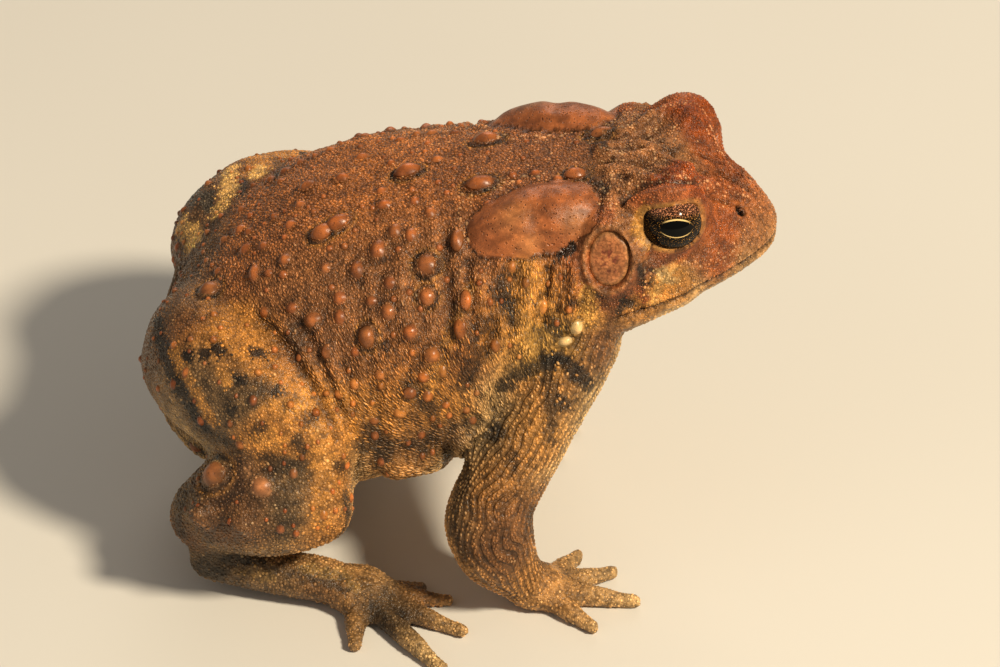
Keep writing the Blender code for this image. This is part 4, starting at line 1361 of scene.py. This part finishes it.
# The pieces of granules: the kinds of flesh that each covers, and the side if it covers one only.
GRANULE_PIECES = (
    ("granules_torso_left", ("torso",), 1), ("granules_torso_right", ("torso",), -1),
    ("granules_head", ("head", "lower_jaw"), 0), ("granules_arms", ("upper_arm", "forearm", "hand"), 0),
    ("granules_thighs", ("thigh",), 0), ("granules_shanks", ("shank", "tarsus", "foot"), 0),
)
MOST_GRANULES = 8800
# Bare rings round these, in mm, and no granules under this height over the floor.
DRUM_CLEAR, EYE_CLEAR, NOSTRIL_CLEAR, FLOOR_CLEAR = 4.6, 4.9, 1.3, 0.35
# Below this outward height the skin is underside, with fewer and larger granules.
UNDERSIDE, UNDERSIDE_SHARE, UNDERSIDE_SIZE = -0.45, 0.5, 1.35
# Half the width of a row of granules on the foreleg, in rows, and how near granules may stand.
ROW_HALF, GRANULE_GAP = 0.20, 0.84
# Ridges of the head and edges of belly and shank that bear pale granules, their pale tips partly painted
# glints.
PALE_PX = (
    ((638, 181), (662, 177), (684, 178), (704, 184), (724, 189), (745, 197)),
    ((604, 150), (620, 145), (636, 146), (652, 154), (668, 163)), ((606, 160), (630, 158), (650, 166)),
    ((600, 186), (606, 196), (612, 210)), ((466, 196), (464, 215), (465, 238)),
    ((490, 184), (520, 178), (550, 176)), ((606, 112), (618, 118), (628, 128)),
    ((644, 116), (654, 126), (648, 140)), ((628, 196), (622, 186), (632, 180)),
    ((690, 262), (710, 262), (736, 254)), ((640, 262), (648, 274), (650, 290)),
    ((352, 468), (385, 470), (420, 468), (448, 462)), ((316, 432), (328, 470), (328, 510), (316, 538)),
)
# Which way the folds and long granules run: pixel and degrees up from the picture's right.
GRAIN_PX = (
    (290, 350, -62), (320, 400, -68), (340, 330, -75), (400, 300, -84), (400, 240, -70), (450, 260, -82),
    (480, 330, -70), (440, 380, -62), (520, 290, -80), (560, 290, -98), (585, 300, -84), (540, 350, -70),
    (390, 410, -45), (420, 450, -8), (370, 455, -8), (300, 290, -50), (250, 270, -40), (240, 350, -35),
    (350, 200, 20), (450, 160, 12), (300, 180, 25), (520, 400, -75), (510, 460, -85), (505, 520, -88),
)
GRAIN_REACH = 5.5


def arm_row(places):
    """Which row along the foreleg each place lies in, between rows as a fraction."""
    mirrored = np.column_stack([places[:, 0], np.abs(places[:, 1]), places[:, 2]])
    total = np.zeros((len(places), 2))
    axis = np.array(ARM_AXIS)
    for a, b in zip(axis, axis[1:]):
        along = unit(b - a)
        t = np.clip((mirrored - a) @ along, 0, np.linalg.norm(b - a))
        offset = mirrored - a - t[:, None] * along
        front = unit(np.array((1.0, 0, 0)) - along * along[0])
        flat = np.column_stack([offset @ front, offset @ np.cross(along, front)])
        total += unit(flat) * np.exp(-np.linalg.norm(offset, axis=1) / 0.7)[:, None]
    turn = np.arctan2(total[:, 1], total[:, 0]) + 0.10 * lumps(places, 2.2, 62)
    return turn / (2 * math.pi) * ARM_ROWS


def grain_direction(places):
    """The way the folds run at each place."""
    total = np.zeros((len(places), 3)) + (0.0, 0.0, 0.002)
    for x, y, degrees in GRAIN_PX:
        place, outward = on_skin(x, y)
        way = ACROSS * math.cos(math.radians(degrees)) + UPWARD * math.sin(math.radians(degrees))
        way = unit(way - outward * (way @ outward))
        for side in (1, -1):
            away = distance(places, on_side(place, side))
            total += np.exp(-(away**2) / (2 * GRAIN_REACH**2))[:, None] * on_side(way, side)
    return unit(total)


def granule_places():
    """Where the granules stand, and their sizes: none on the eyes, eardrums, nostrils and soles."""
    density = np.zeros(len(faces.kind))
    for name, (each_mm2, *_) in GRANULES.items():
        density[of_kind(faces.kind, name)] = each_mm2
    density[faces.middle[:, 2] < FLOOR_CLEAR] = 0
    for place, clear in ((TYMPANUM, DRUM_CLEAR), (EYE_MIDDLE, EYE_CLEAR), (nostril, NOSTRIL_CLEAR)):
        for side in (1, -1):
            density[distance(faces.middle, on_side(place, side)) < clear] = 0
    density[faces.outward.mean(1)[:, 2] < UNDERSIDE] *= UNDERSIDE_SHARE
    found = faces.scatter(density, 17)
    draw = np.random.default_rng(18)
    row = arm_row(found[0])
    wanted = ~of_kind(found[3], "upper_arm", "forearm") | (np.abs(row - np.round(row)) < ROW_HALF)
    found = [rows[wanted] for rows in found]
    places, outward, _, kinds, _ = found
    size = np.zeros(len(places))
    for name, (_, radius, _, _) in GRANULES.items():
        mine = of_kind(kinds, name)
        vary = 0.25 if name in ("upper_arm", "forearm") else 0.75
        size[mine] = radius * (1.05 - 0.57 * vary + vary * draw.random(mine.sum()) ** 1.6)
    size = np.where(outward[:, 2] < UNDERSIDE, size * UNDERSIDE_SIZE, size)
    keep = spaced(places, size * GRANULE_GAP, [(w.place, 0.60 * max(w.a, w.b)) for w in warts])
    return (*(rows[keep] for rows in (*found, size)), draw)


def lay_granules():
    places, outward, uv, kinds, tone, size, draw = granule_places()
    stretch, rise = np.ones(len(places)), np.ones(len(places))
    for name, (_, _, longer, high) in GRANULES.items():
        mine = of_kind(kinds, name)
        stretch[mine], rise[mine] = longer, high
    side_on = smooth_step(0.85, 0.45, np.abs(outward[:, 2])) * of_kind(kinds, "torso")
    stretch *= 1 + 0.25 * draw.random(len(places)) + 1.7 * side_on
    heading = grain_direction(places)
    heading += (0.40 - 0.28 * side_on)[:, None] * draw.standard_normal(heading.shape)
    half = np.column_stack([size * np.sqrt(stretch), size / np.sqrt(stretch)])
    colour = face_colours(places, markings.paint(places, 0.50 * draw.standard_normal(len(places))))
    calm = of_kind(kinds, "thigh", "shank", "upper_arm", "forearm")[:, None]
    varied = draw.random((len(places), 1)) ** 1.2
    # Random tone, times the painted shade and light of the relief under each granule.
    colour *= np.where(calm, 0.84 + 0.32 * varied, 0.68 + 0.62 * varied) * tone[:, None]
    # Lighter tops: painted light.
    tips = colour * np.where(calm, 0.04, 0.11)
    depth = np.full(len(places), -9.0)
    for path in map(skin_path, PALE_PX):
        for side in (1, -1):
            depth = np.maximum(depth, path_depth(places, on_side(path, side), np.ones(len(path))))
    studded = smooth_step(-0.4, 0.6, depth)
    # Pale tips: partly pale granules on the ridges, partly painted glints.
    pale = draw.random(len(places)) < 0.05 + 0.28 * studded
    tips[pale] = np.array(PALE_TIP) * (0.3 + draw.random((pale.sum(), 1)))
    half *= (1 + 0.5 * studded * pale)[:, None]
    dome = dome_shape(6, 2, 0.6)
    for name, flesh, side in GRANULE_PIECES:
        mine = of_kind(kinds, *flesh) & ((side == 0) | ((places[:, 1] > 0) == (side == 1)))
        index = np.where(mine)[0]
        index = index[np.argsort(places[index, 0], kind="stable")]
        chunks = np.array_split(index, math.ceil(len(index) / MOST_GRANULES))
        for part, chunk in enumerate(chunks, 1):
            piece = lay_domes(name if len(chunks) == 1 else f"{name}_{part}", places[chunk], outward[chunk],
                              heading[chunk], half[chunk], (size * rise)[chunk], colour[chunk], uv[chunk],
                              granule_look, dome, tips[chunk])
            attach(piece, "root")


# ------------------------------------------------------------------ putting the toad together

grain_group = make_grain_group()
skin_look = skin_material("moist_skin", grain_group, 1900.0, 0.16, 0.26)
wart_look = skin_material("smooth_warts", grain_group, 3600.0, 0.08, 0.06)
granule_look = skin_material("fine_granules", grain_group, 5200.0, 0.06, 0.03, wetness=0.04)
eye_look = eye_material()
drum_look = skin_material("taut_eardrum", grain_group, 3400.0, 0.15, 0.05, smoothness=0.6)

skin, kind = melt_flesh()
mesh = skin.data
points = smooth_skin(points_of(mesh), edges_of(mesh), kind)
put_points(mesh, points)
outward = outward_of(mesh)
points -= outward * np.where(of_kind(kind, "hand", "foot"), DIGITS_DRAW_IN, DRAW_IN)[:, None]
points = unevenness(points, outward, kind)
points -= outward * (GLAND_GROOVE * gland_edge(mesh, kind, 3))[:, None]
put_points(mesh, points)
take_tree(mesh)

kind_tree = KDTree(len(points))
for i, p in enumerate(points):
    kind_tree.insert(p, i)
kind_tree.balance()

# Finer faces round the eyes, eardrums, nostrils and mouth, and on the neck.
nostril = on_skin(*NOSTRIL_PX)[0]
fine_places, fine_reach = [], []
for side in (1, -1):
    fine_places += [on_side(place, side) for place in (EYE_MIDDLE, TYMPANUM, nostril)]
    fine_reach += [FINE_EYE, FINE_DRUM, FINE_NOSTRIL]
    for x in (x + ahead for x, _ in MOUTH_LINE[:-1] for ahead in (0, 2, 4)):
        fine_places.append(nearest_skin((x, side * 14, mouth_height(x)))[0])
        fine_reach.append(FINE_MOUTH)
refine(skin, fine_places, fine_reach)
refine(skin, (fine_places[0], fine_places[3]), (FINER_EYE, FINER_EYE))
neck = on_skin(*NECK_PX)[0]
refine(skin, (neck, on_side(neck, -1)), (FINE_NECK, FINE_NECK))
points = points_of(mesh)
face_part = [1 - smooth_step(size * 0.8, size, distance(points, place))
             for place, size in zip(fine_places, fine_reach)]
settle(mesh, 3, np.max(face_part, axis=0))
kind = kind[[kind_tree.find(p)[1] for p in points_of(mesh)]]

# The crests of the solids are smoothed away and drawn anew, with the lids and folds.
crest = nearest_skin(on_skin(*FAR_CREST_PX)[0])[0]
points = points_of(mesh)
for side in (1, -1):
    settle(mesh, CREST_ROUNDS, 1 - smooth_step(*CREST_FADE, distance(points, on_side(crest, side))))
points = shape_ridges(points_of(mesh), outward_of(mesh))
put_points(mesh, points)
far_lid = on_skin(*FAR_LID_PX)[0]
settle(mesh, FAR_LID_ROUNDS, 1 - smooth_step(*FAR_LID_FADE, distance(points, far_lid)))
points = press_mouth_line(points_of(mesh), outward_of(mesh))
for side in (1, -1):
    points = carve_eye_opening(seat_eardrum(points, side), side)
put_points(mesh, points)
take_tree(mesh)
nostrils = np.zeros(len(points))
for side in (1, -1):
    points, mask = sink_nostril(points, outward_of(mesh), nearest_skin(on_side(nostril, side))[0])
    nostrils = np.maximum(nostrils, mask)
points[:, 2] = np.maximum(points[:, 2], 0.0)
put_points(mesh, points)
only(skin)
bpy.ops.object.shade_smooth()

# Warts take their colour from the markings before the dark rings round warts, partly painted shade in their
# creases, are among them.
markings, plain_markings = Markings(), Markings()
warts = add_hidden_warts(main_warts(), SkinFaces(mesh, kind))
points, warts = raise_warts(points, outward_of(mesh), warts)
put_points(mesh, points)
take_tree(mesh)
markings.ring_warts(warts)
outward = outward_of(mesh)
# tone: painted shade in the skin's creases and painted light on its ridges, also given to the granules.
tone = relief_shade_and_light(mesh, 14, 0.22)
write_colour(mesh, skin_colours(mesh, kind, points, tone, nostrils))
bare = np.maximum(0.85 * of_kind(kind, "parotoid"), 0.45 * of_kind(kind, "thigh", "shank"))
for side in (1, -1):
    bare = np.maximum(bare, 0.7 * (1 - smooth_step(5.4, 6.6, distance(points, on_side(EYE_MIDDLE, side)))))
write(mesh, "bare", "FLOAT", "value", bare)
side_on = smooth_step(0.3, 0.7, 1 - np.abs(outward[:, 2]))
write(mesh, "folds", "FLOAT", "value", of_kind(kind, "torso") * side_on)
turn = arm_row(points) * (2 * math.pi / ARM_ROWS)
on_arm = spread(of_kind(kind, "upper_arm", "forearm").astype(float), edges_of(mesh), 6) ** 2
on_arm *= 0.75 + 0.5 * lumps(points, 2.4, 61)
write(mesh, "arm_turn", "FLOAT_VECTOR", "vector", np.column_stack([np.cos(turn), np.sin(turn), on_arm]))
mesh.materials.append(skin_look)
edit_all(skin, lambda: bpy.ops.uv.smart_project(angle_limit=math.radians(66), island_margin=0.001))
mesh.uv_layers[0].name = "OFBake"
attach(skin, "root")
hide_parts(*[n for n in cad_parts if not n.startswith(("eye", "tympanum"))])
for name, side in (("left", 1), ("right", -1)):
    make_eye(f"eye_{name}", side, eye_look)
    make_eardrum(f"tympanum_{name}", side, drum_look)

faces = SkinFaces(mesh, kind, tone)
face_tree = BVHTree.FromPolygons([Vector(p) for p in faces.points.reshape(-1, 3)],
                                 [(3 * i, 3 * i + 1, 3 * i + 2) for i in range(len(faces.points))])
lay_warts("ringed_warts", [w for w in warts if w.ring], (20, 8), 0.9, 0.98, 0.30, 8)
lay_warts("warts", [w for w in warts if not w.ring and w.a > 0.75], (18, 7), 1.15, 0.98, 0.28, 9)
lay_warts("small_warts", [w for w in warts if not w.ring and w.a <= 0.75], (10, 4), 1.0, 0.95, 0.50, 10)
lay_granules()

# ------------------------------------------------------------------ floor, light and camera

deselect_all()
bpy.ops.mesh.primitive_plane_add(size=6.0, location=(0, 0, 0))
floor = bpy.context.object
floor.name = "floor"
floor.data.materials.append(floor_material())


def soft_lamp(name, place, size, watts, colour):
    """An area lamp at a place in metres that faces the toad."""
    lamp = new_object(name, bpy.data.lights.new(name, "AREA"))
    lamp.data.shape, lamp.data.size, lamp.data.energy, lamp.data.color = "DISK", size, watts, colour
    lamp.location = place
    lamp.rotation_euler = (Vector((0, 0, 0.03)) - Vector(place)).to_track_quat("-Z", "Y").to_euler()


soft_lamp("key", (0.60, -0.36, 0.76), 0.16, 13.2, (1.0, 0.88, 0.67))
soft_lamp("fill", (-0.9, -0.7, 0.7), 0.9, 0.9, (1.0, 0.95, 0.88))
soft_lamp("rim", (-0.1, 0.9, 0.6), 0.6, 2.2, (1.0, 0.93, 0.82))
world = bpy.data.worlds.new("soft_room")
bpy.context.scene.world = world
world.use_nodes = True
fill(world.node_tree.nodes["Background"], Color=(1.0, 0.94, 0.84), Strength=0.19)

camera = new_object("camera", bpy.data.cameras.new("camera"))
camera.data.lens, camera.data.sensor_width = CAMERA_LENS, CAMERA_SENSOR
camera.data.clip_start, camera.data.clip_end = 0.01, 20
camera.location = EYEPOINT * MM
camera.rotation_euler = Vector(-BACK).to_track_quat("-Z", "Y").to_euler()
bpy.context.scene.camera = camera
bpy.context.scene.view_settings.view_transform = "Standard"
